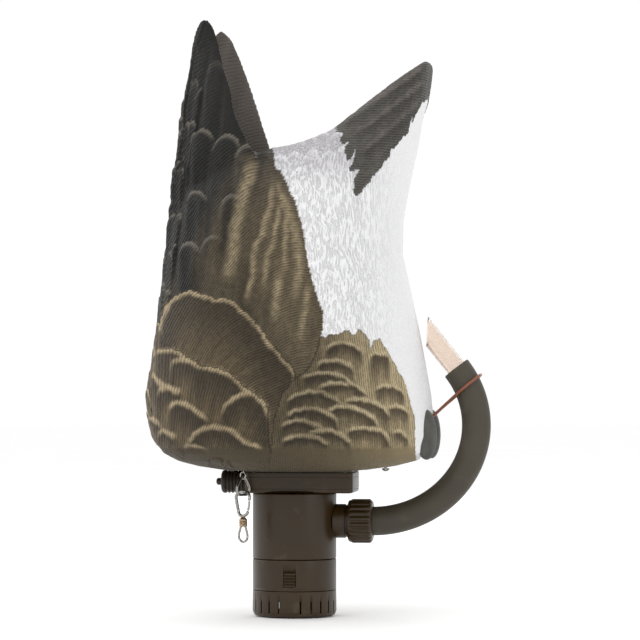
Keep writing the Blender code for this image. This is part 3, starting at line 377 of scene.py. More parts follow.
def plain_shell():
    """Trunk and wings remeshed into one skin."""
    verts, faces, offset = [], [], 0
    for rings in (trunk_rings(), wing_rings(NEAR_WING_SECTIONS, -1), wing_rings(FAR_WING_SECTIONS, 1)):
        ring_verts, ring_faces = ring_loft(rings)
        verts.append(ring_verts)
        faces += [tuple(i + offset for i in face) for face in ring_faces]
        offset += len(ring_verts)
    obj = link("plain_shell", outward_mesh("plain_shell", np.concatenate(verts), faces))
    remesh = obj.modifiers.new("remesh", "REMESH")
    remesh.mode = "VOXEL"
    remesh.voxel_size = VOXEL
    smooth = obj.modifiers.new("smooth", "SMOOTH")
    smooth.factor = 0.5
    smooth.iterations = SMOOTHING_PASSES
    skin = modified_mesh(obj)
    discard(obj)
    return skin


def vertex_array(mesh, name):
    values = np.zeros(len(mesh.vertices) * 3)
    mesh.vertices.foreach_get(name, values)
    return values.reshape(-1, 3)


class Plumage:
    """Feather relief and paint over the shell's vertices."""

    def __init__(self, points, normals):
        self.points = points
        self.normals = normals
        self.across, self.up = picture_place(points)
        self.height = points[:, 2]
        x, y = points[:, 0], np.abs(points[:, 1])
        middle, half_depth, half_width = outline_at(SPAN_SECTIONS, self.height)
        self.angle = np.arctan2(y / half_width, (middle - x) / half_depth)
        seen = angle_from_across(sideways(points), self.height)
        self.angle = self.angle + (seen - self.angle) * smoothstep(296, 320, self.height)
        self.round = self.angle * ROUND_MM
        middle, half_depth, half_width = outline_at(TRUNK_SECTIONS, self.height)
        power = 2 / SECTION_POWER
        fill = (np.abs((x - middle) / half_depth) ** power + np.abs(y / half_width) ** power) ** (1 / power)
        self.wing = smoothstep(312, 322, self.height) * smoothstep(1.02, 1.07, fill)
        self.wing = np.where(self.height > ABOVE_TRUNK, 1.0, self.wing)
        outward = normals[:, 1] * np.sign(points[:, 1])
        self.inner = self.wing * smoothstep(0.05, -0.2, outward - 0.3 * normals[:, 0])
        self.lift = 1.0 + 0.35 * smoothstep(0.95, 0.6, self.angle) * smoothstep(225, 255, self.height)
        self.lift *= 1 - 0.8 * smoothstep(380, 400, self.height)
        # Height of the relief, shares of the painted highlight along the pale edge and of the painted shade
        # under it,
        # 1 on the broadest fold, and the kind of feather.
        self.relief, self.pale, self.dark, self.broad, self.kind = np.zeros((5, len(points)))

    def lay(self, feathers, rise, kind, where, rim_width=1.6):
        """Lay feathers given as (round, height, half width, length, lean, arch, stretch)."""
        for round_mm, height, half, length, lean, arch, stretch in sorted(feathers, key=lambda row: -row[1]):
            reach = length + half
            near = np.nonzero(where & (np.abs(self.height - height) < reach)
                              & (np.abs(self.round - round_mm) < reach * stretch))[0]
            if not len(near):
                continue
            aside = (self.round[near] - round_mm) / stretch
            above = self.height[near] - height
            tilt = radians(lean)
            down = -(aside * sin(tilt) + above * cos(tilt))
            side = aside * cos(tilt) - above * sin(tilt)
            cap = np.maximum(0.0, 1.0 - down / (half * arch))
            inside = 1.0 - np.sqrt((side / half) ** 2 + cap ** 2)
            keep = (inside > 0) & (down < length)
            near, down, inside = near[keep], down[keep], inside[keep] * half
            target = rise * (1.0 - down / length) * self.lift[near]
            tip = smoothstep(half * 1.25, half * 0.35, down)
            share = smoothstep(0.0, rim_width + 0.12 * np.maximum(down, 0.0), inside)
            self.relief[near] += (np.maximum(target, self.relief[near]) - self.relief[near]) * share
            # Painted highlight along the feather's edge and painted shade in a band just inside it, both
            # strongest at the tip.
            self.pale[near] = smoothstep(3.4, 0.6, inside) * (0.1 + 0.9 * tip)
            self.dark[near] = smoothstep(1.8, 3.4, inside) * smoothstep(11.0, 4.0, inside) * (0.2 + 0.8 * tip)
            self.kind[near] = kind

    def lay_crests(self, crests, rise, kind, where, width):
        """Lay broad folds whose upper edges follow lines of (across, up) points."""
        ragged = (value_noise(self.points, 3.2, 23) - 0.5) * 1.8
        uneven = value_noise(self.points, 11.0, 29)
        for line, reach in sorted(crests, key=lambda row: -max(up for across, up in row[0])):
            across, up = np.array(line, float).T
            near = np.nonzero(where & (self.across > across[0]) & (self.across < across[-1]))[0]
            slope = np.interp(self.across[near], across, np.gradient(up, across))
            below = (np.interp(self.across[near], across, up) - self.up[near]) / np.sqrt(1 + slope ** 2)
            below = below + ragged[near]
            keep = (below > -2.2) & (below < reach)
            near, below = near[keep], below[keep]
            end = np.minimum(self.across[near] - across[0], across[-1] - self.across[near])
            ends = smoothstep(0.0, 5.0, end)
            cover = smoothstep(-2.2, 1.4, below) * ends
            target = rise * (1.0 - below / reach) * self.lift[near]
            self.relief[near] += (np.maximum(target, self.relief[near]) - self.relief[near]) * cover
            # Painted highlight along the crest and painted shade in a band below it.
            tinted = smoothstep(-2.0, 0.2, below) * ends
            pale = smoothstep(width * 2.4, 0.0, below) * (0.5 + 0.7 * uneven[near])
            dark = smoothstep(width * 0.9, width * 2.4, below) * smoothstep(reach * 0.8, width * 2.4, below)
            self.pale[near] += (np.minimum(pale, 1.0) - self.pale[near]) * tinted
            self.dark[near] += (dark - self.dark[near]) * tinted
            solid = near[cover > 0.35]
            self.broad[solid] = float(reach > BROAD_FOLD)
            self.kind[solid] = kind


def hand_laid(rows):
    """Feathers whose tips were placed in the picture plane, moved onto the shell."""
    across, up = np.array([row[:2] for row in rows], float).T
    round_mm, height = place_on_shell(across, up)
    left = place_on_shell(across - 1.0, up)[0]
    right = place_on_shell(across + 1.0, up)[0]
    stretch = np.clip((right - left) / 2.0, 0.8, 2.0)
    return [(round_mm[i], height[i], *row[2:], stretch[i]) for i, row in enumerate(rows)]


def scattered(round_span, height_span, half, length, arch, pitch):
    """Rows of feathers set brick-wise with a little disorder, all pointing up."""
    rows = []
    for step, height in enumerate(np.arange(*height_span, pitch[1])):
        start = round_span[0] + (step % 2) * pitch[0] / 2
        for round_mm in np.arange(start, round_span[1], pitch[0]):
            jitter = RANDOM.uniform(-0.22, 0.22, 3)
            rows.append((round_mm + jitter[0] * pitch[0], height + jitter[1] * pitch[1],
                         half * (1 + jitter[2]), length, 20 * jitter[2], arch, 1.0))
    return rows


def inside_outline(across, up, outline):
    """Whether each spot of the picture plane lies in a polygon."""
    result = np.zeros(len(across), bool)
    for (x1, y1), (x2, y2) in zip(outline, outline[1:] + outline[:1]):
        crosses = (y1 > up) != (y2 > up)
        with np.errstate(divide="ignore", invalid="ignore"):
            result ^= crosses & (across < (x2 - x1) * (up - y1) / (y2 - y1) + x1)
    return result


def brown_limit(up):
    """How far across the brown wing reaches at a height in the picture plane."""
    across_rows, up_rows = np.array(WHITE_EDGE[::-1], float).T
    return np.interp(up, up_rows, across_rows, left=16.0, right=-200.0)


def wing_ridges(p):
    """How much each vertex belongs to one of the pale raised streaks."""
    total = np.zeros(len(p.up))
    wander = (value_noise(p.points, 7.0, 21) - 0.5) * 1.6
    for line, half in WING_RIDGES:
        across, up = np.array(line, float).T
        centre = np.interp(p.up, up, across)
        near = smoothstep(half * 1.9, 0.0, np.abs(p.across - centre - wander))
        ends = smoothstep(up[0] - 6, up[0] + 10, p.up) * smoothstep(up[-1] + 3, up[-1] - 12, p.up)
        total = np.maximum(total, near * ends)
    return total * (0.45 + 0.8 * value_noise(p.points, 2.4, 41))


def clear_edges(p, where, kind):
    """Turn loose spots into one kind of feather, without the painted highlight and shade of edges."""
    p.kind[where] = kind
    p.pale[where] = 0.0
    p.dark[where] = 0.0


def dress(p):
    """Lay every kind of feather, from the ones underneath to the ones on top."""
    trunk = p.wing < 0.5
    outer_wing = ~trunk & (p.inner < 0.5)
    front = p.angle > FRONT_ANGLE
    on_back = p.angle < BACK_ANGLE
    upright = (1, 1, 0.3)
    flank_top = np.interp(p.across, *np.array(FLANK_TOP, float).T, left=0.0, right=0.0)
    ragged = (value_noise(p.points * upright, 2.2, 5) - 0.5) * 4
    tail = trunk & (p.height > 300) & inside_outline(p.across + ragged, p.up, TAIL_PATCH)
    brown_edge = brown_limit(p.up)
    brown = trunk & ((p.across < brown_edge) & (p.up < WING_ROOT) | on_back & (p.height < 335))
    reachable = trunk & (p.across < brown_edge + 2.5) & (p.up < WING_ROOT)

    p.lay(scattered((60, 330), (112, 425), 7.5, 30, 1.5, (12.5, 15.5)), 0.5, WHITE, trunk, 2.2)
    back_feathers = scattered((-20, 66), (150, 440), 9.5, 62, 1.3, (17.0, 31.0))
    p.lay(back_feathers, 1.7, LONG, (brown | outer_wing) & on_back)
    p.lay(hand_laid(LONG_FEATHERS), 2.4, LONG, (reachable | outer_wing) & front, 3.2)
    belly_side = smoothstep(3, 18, p.across - charcoal_limit(p)) * reachable * front
    for array in (p.relief, p.pale, p.dark):
        array *= 1 - belly_side * (p.kind == LONG)
    p.lay(scattered((-20, 64), (126, 238), 11.0, 40, 0.8, (19.0, 24.0)), 1.8, COVERT, brown & on_back)
    p.lay_crests(COVERT_CRESTS, 2.2, COVERT, reachable & front, 1.6)

    notches = (value_noise(p.points * upright, 2.6, 31) - 0.5) * 6
    flank = trunk & front & (p.up < flank_top + notches * smoothstep(0, 16, p.across))
    clear_edges(p, flank, FLANK)
    # Painted highlight over the flank, growing towards the belly.
    p.pale[flank] = 0.3 * smoothstep(10, 50, p.across[flank])
    p.relief[flank] *= (1 - 0.6 * smoothstep(0, 14, flank_top - p.up))[flank]
    p.lay_crests(FLANK_CRESTS, 1.7, FLANK, flank, 1.15)
    clear_edges(p, tail, TAIL)
    p.lay_crests(TAIL_CRESTS, 0.9, TAIL, tail, 1.4)
    p.kind[tail] = TAIL
    clear_edges(p, trunk & ~tail & (p.kind == WHITE) & brown, LONG)
    bare = trunk & ~tail & ~brown & ~flank & ~(reachable & front) & (p.kind == LONG)
    clear_edges(p, bare, WHITE)
    p.kind[~trunk] = LONG
    finish_relief(p)


def finish_relief(p):
    """Smooth the band and the wings' inner faces, then add folds, streaks and strokes elsewhere."""
    long = p.kind == LONG
    white = p.kind == WHITE
    outer = 1 - p.inner
    p.band = smoothstep(129, 125, p.height) * ~white
    p.relief *= 1 - p.band
    p.relief *= outer
    p.folds = value_noise(np.column_stack([p.round, p.height * 0.16, p.kind]), 9.0, 3)
    p.relief += (p.folds - 0.5) * 1.5 * long * outer
    p.ridge = wing_ridges(p) * long * outer
    p.relief += 1.3 * p.ridge
    p.relief += (value_noise(p.points, 2.2, 11) - 0.5) * 0.35 * outer
    p.relief += (value_noise(p.points * (1, 1, 0.22), 2.1, 37) - 0.5) * 0.8 * white
    smooth_belly = smoothstep(52, 76, p.across) * white
    p.relief *= 1 - smooth_belly
    p.relief -= NOZZLE_CLEARANCE * smooth_belly


def charcoal_limit(p):
    """How far across the charcoal of the back reaches."""
    return np.interp(p.up, CHARCOAL_UP, CHARCOAL_ACROSS)


def graded(place, places, tones):
    """A colour for each vertex that changes along a line of places."""
    rows = np.array([colour(*tone) for tone in tones])
    return np.column_stack([np.interp(place, places, rows[:, k]) for k in range(3)])


def plain(p, tone):
    return np.tile(colour(*tone), (len(p.pale), 1))


def long_paint(p):
    """Charcoal towards the back and the tip, brown towards the belly and the base."""
    paint = graded(p.height, LONG_HEIGHTS, LONG_TONES)
    wander = (p.folds - 0.5) * 26
    back_share = smoothstep(22, -10, p.across - charcoal_limit(p) + wander)
    paint = blend_in(paint, colour(26, 25, 22), 0.98 * back_share)
    grain = value_noise(p.points * (1, 1, 0.14), 2.6, 43)
    paint = paint * ((0.74 + 0.52 * p.folds) * (0.80 + 0.40 * grain))[:, None]
    # Painted shade: the long feathers darkened towards the back.
    paint = paint * np.interp(p.across, [-90, -45, -25, 5], [0.52, 0.60, 0.80, 1.0])[:, None]
    # Painted shade just inside each feather's edge, and a painted highlight along it.
    paint = blend_in(paint, colour(28, 27, 25), 0.6 * p.dark)
    paint = blend_in(paint, colour(104, 98, 89), 0.80 * p.pale * smoothstep(430, 360, p.height))
    return blend_in(paint, colour(150, 135, 107), 0.75 * p.ridge * smoothstep(372, 310, p.height))


def crest_paint(p, ground, dark, crest):
    """The ground colour, with painted shade under each crest and a painted highlight along it."""
    streaks = value_noise(np.column_stack([barb_lines(p) * 0.9, p.up * 0.12, p.kind * 50]), 2.2, 9)
    paint = plain(p, ground) * (0.66 + 0.68 * streaks)[:, None]
    paint = blend_in(paint, colour(*dark), 0.92 * p.dark)
    return blend_in(paint, colour(*crest), np.minimum(p.pale, 1.0) * 0.92)


def white_paint(p):
    """Near white, with painted lilac-grey shade towards the wings' root, a painted highlight on the feather
    edges there and painted shade under them.
    """
    wing_root_shade = smoothstep(312, 352, p.up) * smoothstep(78, 44, p.across)
    paint = blend_in(plain(p, (222, 222, 223)), colour(176, 173, 176), 0.85 * wing_root_shade)
    paint = blend_in(paint, colour(238, 238, 240), 0.55 * p.pale * wing_root_shade)
    return blend_in(paint, colour(186, 186, 191), p.dark * (0.10 + 0.25 * wing_root_shade))


def tail_paint(p):
    paint = plain(p, (80, 77, 72)) * (0.78 + 0.44 * p.folds)[:, None]
    # Painted shade under each crest and a painted highlight along it.
    paint = blend_in(paint, colour(50, 47, 44), 0.5 * p.dark)
    return blend_in(paint, colour(112, 103, 98), 0.5 * p.pale)


def paint_shell(p):
    """One colour for each vertex."""
    # Each call: ground colour, colour of the painted shade, colour of the painted highlight.
    flank = crest_paint(p, (146, 131, 101), (66, 55, 40), (192, 177, 143))
    shadow_side = crest_paint(p, (84, 74, 55), (44, 37, 27), (156, 142, 114))
    layers = {
        COVERT: crest_paint(p, (88, 76, 56), (50, 42, 31), (166, 149, 119)),
        FLANK: blend_in(flank, shadow_side, smoothstep(76, 6, p.across)),
        WHITE: white_paint(p),
        TAIL: tail_paint(p),
    }
    paint = long_paint(p)
    for kind, layer in layers.items():
        paint[p.kind == kind] = layer[p.kind == kind]
    inside = plain(p, (82, 76, 70)) * (0.75 + 0.5 * p.folds)[:, None]
    paint = paint + (inside - paint) * (p.inner * 0.95)[:, None]
    hem = graded(p.across, HEM_PLACES, HEM_TONES)
    return paint + (hem - paint) * (p.band * 0.9)[:, None]


def fan(p, places, slopes, spot):
    """A coordinate across barbs whose slope, in degrees, changes from the back to the belly."""
    turn = np.interp(p.across, places, np.radians(slopes))
    return (p.up - spot[1]) * np.cos(turn) - (p.across - spot[0]) * np.sin(turn)


def barb_lines(p):
    """A coordinate across the barbs, in mm, for the fine lines of the material."""
    covert = np.where(p.broad > 0.5, fan(p, *BROAD_BARBS), fan(p, *LOW_BARBS))
    choices = [covert, p.across * 1.15 + 0.12 * p.up, p.height]
    return np.select([p.kind == COVERT, p.kind == FLANK, p.kind == TAIL], choices, fan(p, *LONG_BARBS))


def make_shell():
    """The feathered skin, parted into its two halves."""
    skin = plain_shell()
    p = Plumage(vertex_array(skin, "co") / MM, vertex_array(skin, "normal"))
    dress(p)
    paint = np.column_stack([paint_shell(p), np.ones(len(p.pale))])
    blades = 0.6 * smoothstep(335, 385, p.height) * (p.kind == LONG)
    calm = 1 - np.maximum.reduce([p.inner * 0.75, p.band * 0.85, blades])
    soft = (p.kind != WHITE) * calm
    stroked = (p.kind == WHITE) * smoothstep(92, 40, p.across)
    points = p.points + p.normals * p.relief[:, None]
    skin.vertices.foreach_set("co", (points * MM).ravel())
    skin.attributes.new("paint", "FLOAT_COLOR", "POINT").data.foreach_set("color", paint.ravel())
    barb = np.column_stack([barb_lines(p), soft, stroked])
    skin.attributes.new("barb", "FLOAT_VECTOR", "POINT").data.foreach_set("vector", barb.ravel())
    near = half_shell(skin, "near_half_shell", -1)
    half_shell(skin, "far_half_shell", 1)
    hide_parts("body_shell")
    bpy.data.meshes.remove(skin)


def half_shell(skin, name, side):
    """One side of the shell, parted at the mould line and closed with a flat face."""
    bm = bmesh.new()
    bm.from_mesh(skin)
    everything = bm.verts[:] + bm.edges[:] + bm.faces[:]
    cut = bmesh.ops.bisect_plane(bm, geom=everything, plane_co=(0, 0, 0), plane_no=(0, side, 0),
                                 clear_inner=True, clear_outer=False)
    rim = [item for item in cut["geom_cut"] if isinstance(item, bmesh.types.BMEdge)]
    cap = bmesh.ops.holes_fill(bm, edges=rim, sides=0)["faces"]
    for edge in rim:
        edge.smooth = False
    for face in bm.faces:
        face.smooth = True
    for face in cap:
        face.smooth = False
    mesh = bpy.data.meshes.new(name)
    bm.to_mesh(mesh)
    bm.free()
    mesh.materials.clear()
    mesh.materials.append(feather_paint())
    obj = link(name, mesh)
    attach(obj, "root")
    return obj


# ---- materials
class Nodes:
    """A short way to write a material's nodes."""

    def __init__(self, name):
        self.material = bpy.data.materials.new(name)
        self.material.use_nodes = True
        self.tree = self.material.node_tree
        self.shader = self.tree.nodes["Principled BSDF"]

    def add(self, kind, inputs=None, **settings):
        node = self.tree.nodes.new("ShaderNode" + kind)
        for key, value in settings.items():
            setattr(node, key, value)
        for key, value in (inputs or {}).items():
            self.feed(node, key, value)
        return node

    def feed(self, node, key, value):
        if isinstance(value, bpy.types.NodeSocket):
            self.tree.links.new(value, node.inputs[key])
        else:
            node.inputs[key].default_value = value

    def math(self, operation, first, second=0.0):
        return self.add("Math", {0: first, 1: second}, operation=operation).outputs[0]

    def vector(self, operation, first, second):
        return self.add("VectorMath", {0: first, 1: second}, operation=operation).outputs["Vector"]

    def ramp(self, value, low, high, out_low, out_high):
        return self.add("MapRange", {0: value, 1: low, 2: high, 3: out_low, 4: out_high}).outputs[0]

    def noise(self, scale, detail, vector=None):
        inputs = {"Scale": scale, "Detail": detail, "Vector": vector or self.position()}
        return self.add("TexNoise", inputs).outputs[0]

    def position(self):
        """Object coordinates; every piece keeps its mesh in the row frame, so these are metres."""
        return self.add("TexCoord").outputs["Object"]

    def mix(self, share, first, second):
        return self.add("Mix", {0: share, 6: first, 7: second}, data_type="RGBA").outputs[2]

    def scaled(self, tint, factor):
        """A colour multiplied by a number."""
        return self.add("VectorMath", {0: tint, "Scale": factor}, operation="SCALE").outputs[0]

    def bump(self, height, strength, distance):
        node = self.add("Bump", {"Height": height, "Strength": strength, "Distance": distance})
        self.feed(self.shader, "Normal", node.outputs[0])

    def surface(self, **values):
        for key, value in values.items():
            self.feed(self.shader, key.replace("_", " "), value)


def tint(red, green, blue):
    return (*[float(part) for part in colour(red, green, blue)], 1.0)


@cache
def feather_paint():
    """Airbrushed paint over moulded feathers, with fine barbs and strokes, and painted shade and highlight in
    their grooves and on their ridges.
    """
    n = Nodes("feather_paint")
    paint = n.add("Attribute", attribute_name="paint").outputs["Color"]
    parts = n.add("SeparateXYZ", {0: n.add("Attribute", attribute_name="barb").outputs["Vector"]}).outputs
    line = n.math("ADD", parts[0], n.math("MULTIPLY", n.noise(150.0, 2.0), 1.6))
    wave = n.math("SINE", n.math("MULTIPLY", line, 2 * pi / BARB_PITCH))
    broken = n.math("MULTIPLY", wave, n.ramp(n.noise(300.0, 2.0), 0.35, 0.6, 0.35, 1.0))
    barbs = n.math("MULTIPLY", broken, parts[1])
    upright = n.vector("MULTIPLY", n.position(), (1.0, 1.0, 0.13))
    sway = n.math("MULTIPLY", n.noise(60.0, 2.0), 0.0045)
    swayed = n.vector("ADD", upright, n.add("CombineXYZ", {0: sway, 1: sway}).outputs[0])
    strokes = n.math("MULTIPLY", n.ramp(n.noise(760.0, 1.0, swayed), 0.47, 0.62, 0.0, 1.0), parts[2])
    mottle = n.noise(900.0, 3.0)
    # Painted shade in the barbs' grooves and painted highlight on their ridges, partly the paint's pale
    # dry-brush; the mottle is the paint's own uneven tone.
    shade = n.math("ADD", n.ramp(mottle, 0.3, 0.7, 0.92, 1.06), n.math("MULTIPLY", barbs, 0.40))
    # Painted shade along the strokes' grooves.
    shade = n.math("SUBTRACT", shade, n.math("MULTIPLY", strokes, 0.20))
    n.surface(Base_Color=n.scaled(paint, shade), Roughness=n.ramp(mottle, 0.3, 0.7, 0.62, 0.78),
              Specular_IOR_Level=0.3)
    height = n.math("ADD", n.math("SUBTRACT", barbs, strokes), n.math("MULTIPLY", mottle, 0.8))
    n.bump(height, 0.85, 0.0007)
    return n.material


def moulded(name, dark, pale, rough, grain, bump_strength=0.05, depth=0.0002):
    """Moulded plastic or rubber: a slow change of colour, a fine grain and faint scuffs."""
    n = Nodes(name)
    slow = n.noise(22.0, 3.0)
    scuffs = n.ramp(n.noise(90.0, 5.0), 0.60, 0.74, 0.0, 1.0)
    base = n.mix(n.ramp(slow, 0.3, 0.7, 0.0, 1.0), tint(*dark), tint(*pale))
    base = n.mix(n.math("MULTIPLY", scuffs, 0.10), base, tint(128, 114, 96))
    n.surface(Base_Color=base, Roughness=n.ramp(slow, 0.3, 0.7, rough - 0.05, rough + 0.06),
              Specular_IOR_Level=0.35)
    n.bump(n.noise(grain, 3.0), bump_strength, depth)
    return n.material


@cache
def brown_plastic():
    return moulded("brown_plastic", (42, 29, 8), (51, 36, 12), 0.33, 1400.0, 0.03)


@cache
def black_plastic():
    return moulded("black_plastic", (34, 34, 34), (46, 46, 45), 0.45, 1500.0)


@cache
def foot_plastic():
    return moulded("foot_plastic", (52, 52, 48), (96, 95, 89), 0.55, 380.0, 0.8, 0.0015)


@cache
def black_rubber():
    return moulded("black_rubber", (58, 53, 43), (68, 63, 52), 0.55, 1500.0, 0.08)


@cache
def boot_rubber():
    return moulded("boot_rubber", (34, 25, 14), (43, 33, 20), 0.5, 1500.0, 0.08)


@cache
def circuit_board():
    return moulded("circuit_board", (24, 78, 44), (34, 96, 56), 0.4, 800.0)


def metal(name, dark, pale, rough):
    n = Nodes(name)
    wear = n.noise(900.0, 5.0)
    n.surface(Base_Color=n.mix(n.ramp(wear, 0.35, 0.7, 0.0, 1.0), tint(*dark), tint(*pale)), Metallic=1.0,
              Roughness=n.ramp(wear, 0.3, 0.7, rough - 0.06, rough + 0.12))
    n.bump(n.noise(2600.0, 3.0), 0.06, 0.0002)
    return n.material


@cache
def steel():
    return metal("steel", (120, 116, 112), (186, 183, 178), 0.14)


@cache
def brass():
    return metal("brass", (112, 88, 66), (190, 168, 142), 0.22)


@cache
def copper():
    return metal("copper", (112, 66, 46), (158, 98, 70), 0.35)


@cache
def tie_coating():
    """Red-brown coated wire."""
    return moulded("tie_coating", (104, 58, 40), (142, 84, 60), 0.30, 1500.0, 0.1)


@cache
def clear_plastic():
    """Clear tube with a warm tint and a faint haze."""
    n = Nodes("clear_plastic")
    haze = n.noise(240.0, 4.0)
    n.surface(Base_Color=(0.95, 0.85, 0.77, 1.0), Roughness=n.ramp(haze, 0.3, 0.7, 0.01, 0.04), IOR=1.45,
              Transmission_Weight=0.90)
    return n.material


SLOT_MAKERS = {
    "painted_plastic": feather_paint, "foot_plastic": foot_plastic, "brown_plastic": brown_plastic,
    "black_plastic": black_plastic, "black_rubber": black_rubber, "clear_plastic": clear_plastic,
    "steel": steel, "brass": brass, "copper": copper, "circuit_board": circuit_board,
}


def dress_nodes():
    """Give every carried-over CAD node the procedural material of its slot in the record."""
    slots = {row["node"]: row["material_slot"] for row in frame["record"]["subparts"]}
    for name, node in frame["nodes"].items():
        maker = SLOT_MAKERS[slots.get(name, "black_plastic")]
        node.data.materials.clear()
        node.data.materials.append(maker())


# ---- hard parts: helpers
def box_mm(node):
    low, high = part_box(node)
    return np.array(low) / MM, np.array(high) / MM


def add_piece(name, shape, material, body, replaced=(), sharp=38):
    """Make an object from points in mm, in the row frame, and let it ride on a body."""
    mesh = outward_mesh(name, *shape)
    mesh.shade_smooth()
    mesh.set_sharp_from_angle(angle=radians(sharp))
    mesh.materials.append(material)
    obj = link(name, mesh)
    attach(obj, body)
    if replaced:
        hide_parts(*replaced)
    return obj


def ring_loft(rings, closed=False):
    """Skin rings of equal length; closed joins the last ring to the first."""
    count = len(rings[0])
    verts = np.concatenate([np.asarray(ring, float) for ring in rings])
    last = len(rings) if closed else len(rings) - 1
    faces = []
    for row in range(last):
        above = (row + 1) % len(rings)
        for i in range(count):
            j = (i + 1) % count
            faces.append((row * count + i, row * count + j, above * count + j, above * count + i))
    if not closed:
        faces.append(tuple(range(count)))
        faces.append(tuple(range((len(rings) - 1) * count, len(rings) * count)))
    return verts, faces


def rounded(profile, radius, steps=4, closed=True):
    """Round the corners of an outline of (radius, height) points by up to radius mm."""
    result = []
    count = len(profile)
    for i, corner in enumerate(profile):
        corner = np.array(corner, float)
        if not closed and i in (0, count - 1):
            result.append(tuple(corner))
            continue
        before = np.array(profile[i - 1], float) - corner
        after = np.array(profile[(i + 1) % count], float) - corner
        reach = min(radius, np.hypot(*before) * 0.45, np.hypot(*after) * 0.45)
        start = corner + before / np.hypot(*before) * reach
        end = corner + after / np.hypot(*after) * reach
        for t in np.linspace(0, 1, steps + 1):
            result.append(tuple(start * (1 - t) ** 2 + 2 * corner * t * (1 - t) + end * t * t))
    return result


def turned(profile, segments=96, centre=(0, 0, 0), axis="Z", closed=True):
    """Turn an outline of (radius, height) about an axis; an open one is closed by flat faces at its ends."""
    angle = np.linspace(0, 2 * pi, segments, endpoint=False)
    rings = []
    for radius, height in profile:
        flat = np.stack([radius * np.cos(angle), radius * np.sin(angle), np.full(segments, height)], 1)
        if axis == "X":
            flat = flat[:, [2, 1, 0]] * (1, 1, -1)
        rings.append(flat + np.array(centre))
    return ring_loft(rings, closed)


def curve_through(points, per_span=8, closed=False):
    """Catmull-Rom curve through given points."""
    points = [np.array(point, float) for point in points]
    count = len(points)
    result = []
    for i in range(count if closed else count - 1):
        spots = [i - 1, i, i + 1, i + 2]
        p0, p1, p2, p3 = (points[k % count if closed else min(max(k, 0), count - 1)] for k in spots)
        for k in range(per_span):
            t = k / per_span
            result.append(0.5 * (2 * p1 + (p2 - p0) * t + (2 * p0 - 5 * p1 + 4 * p2 - p3) * t * t
                                 + (3 * p1 - 3 * p2 + p3 - p0) * t ** 3))
    if not closed:
        result.append(points[-1])
    return np.array(result)


def carried_frames(path, closed):
    """A pair of directions across the path at each point, carried along without twisting."""
    ahead = np.roll(path, -1, 0)
    behind = np.roll(path, 1, 0)
    if not closed:
        ahead[-1] = path[-1]
        behind[0] = path[0]
    tangents = ahead - behind
    tangents /= np.linalg.norm(tangents, axis=1)[:, None]
    side = np.cross(tangents[0], (0.0, 1.0, 0.0))
    if np.linalg.norm(side) < 0.1:
        side = np.cross(tangents[0], (1.0, 0.0, 0.0))
    frames = []
    for tangent in tangents:
        side = unit(side - tangent * side.dot(tangent))
        frames.append((side, np.cross(tangent, side)))
    return frames


def unit(vector):
    return vector / np.linalg.norm(vector)


def sweep(path, radius, sides=16, closed=False, scales=None):
    """Rings of a round section carried along a path."""
    scales = np.ones(len(path)) if scales is None else scales
    angle = np.linspace(0, 2 * pi, sides, endpoint=False)
    rings = []
    for point, scale, (side, other) in zip(path, scales, carried_frames(path, closed)):
        size = radius * scale
        rings.append(point + np.outer(np.cos(angle), side) * size + np.outer(np.sin(angle), other) * size)
    return rings


def rod(path, radius, sides=14, closed=False):
    """A round wire; open ones get domed ends."""
    if closed:
        return ring_loft(sweep(path, radius, sides, True), True)
    start = path[0] + unit(path[0] - path[1]) * radius * 0.5
    end = path[-1] + unit(path[-1] - path[-2]) * radius * 0.5
    line = np.vstack([start, (start + path[0]) / 2, path, (end + path[-1]) / 2, end])
    scales = np.ones(len(line))
    scales[[0, -1]] = 0.45
    scales[[1, -2]] = 0.85
    return ring_loft(sweep(line, radius, sides, False, scales))


def cut_with(obj, verts, faces):
    """Cut closed shapes out of a piece, and keep only the result."""
    cutter = link("cutter", outward_mesh("cutter", verts, faces))
    modifier = obj.modifiers.new("cut", "BOOLEAN")
    modifier.operation = "DIFFERENCE"
    modifier.solver = "EXACT"
    modifier.object = cutter
    old = obj.data
    obj.data = modified_mesh(obj)
    obj.modifiers.clear()
    bpy.data.meshes.remove(old)
    discard(cutter)


def blocks(corners):
    """Several boxes, each given as its lowest and highest corner turned about Z by an angle."""
    verts, faces = [], []
    quads = [(0, 1, 3, 2), (4, 6, 7, 5), (0, 4, 5, 1), (2, 3, 7, 6), (0, 2, 6, 4), (1, 5, 7, 3)]
    for low, high, angle in corners:
        start = len(verts)
        for x in (low[0], high[0]):
            for y in (low[1], high[1]):
                for z in (low[2], high[2]):
                    verts.append((x * cos(angle) - y * sin(angle), x * sin(angle) + y * cos(angle), z))
        faces += [tuple(i + start for i in quad) for quad in quads]
    return verts, faces


# ---- hard parts
def rounded_plate_ring(low, high, corner, height, inset):
    """A rounded rectangle at one height, drawn in from the box's sides by inset."""
    middle = (low + high)[:2] / 2
    half = (high - low)[:2] / 2 - inset
    radius = max(corner - inset, 0.4)
    points = []
    for quarter, (sx, sy) in enumerate(((1, 1), (-1, 1), (-1, -1), (1, -1))):
        for k in range(7):
            angle = (quarter + k / 6) * pi / 2
            points.append((middle[0] + sx * (half[0] - radius) + radius * cos(angle),
                           middle[1] + sy * (half[1] - radius) + radius * sin(angle), height))
    return points


def make_box():
    """The screwed-on box: rounded lower edge, a seam above it and a lip at the top."""
    low, high = box_mm("mounting_box")
    steps = [(0.0, 2.4), (0.25, 1.2), (0.9, 0.35), (1.8, 0.0), (2.6, 0.0), (2.7, 0.35), (3.2, 0.35),
             (3.3, 0.0), (11.6, 0.0), (11.7, 0.3), (12.1, 0.3), (12.2, 0.0), (14.9, 0.0), (15.3, 0.4)]
    rings = [rounded_plate_ring(low, high, BOX_CORNER, low[2] + rise, inset) for rise, inset in steps]
    add_piece("box_casing", ring_loft(rings), brown_plastic(), "root", ["mounting_box"])


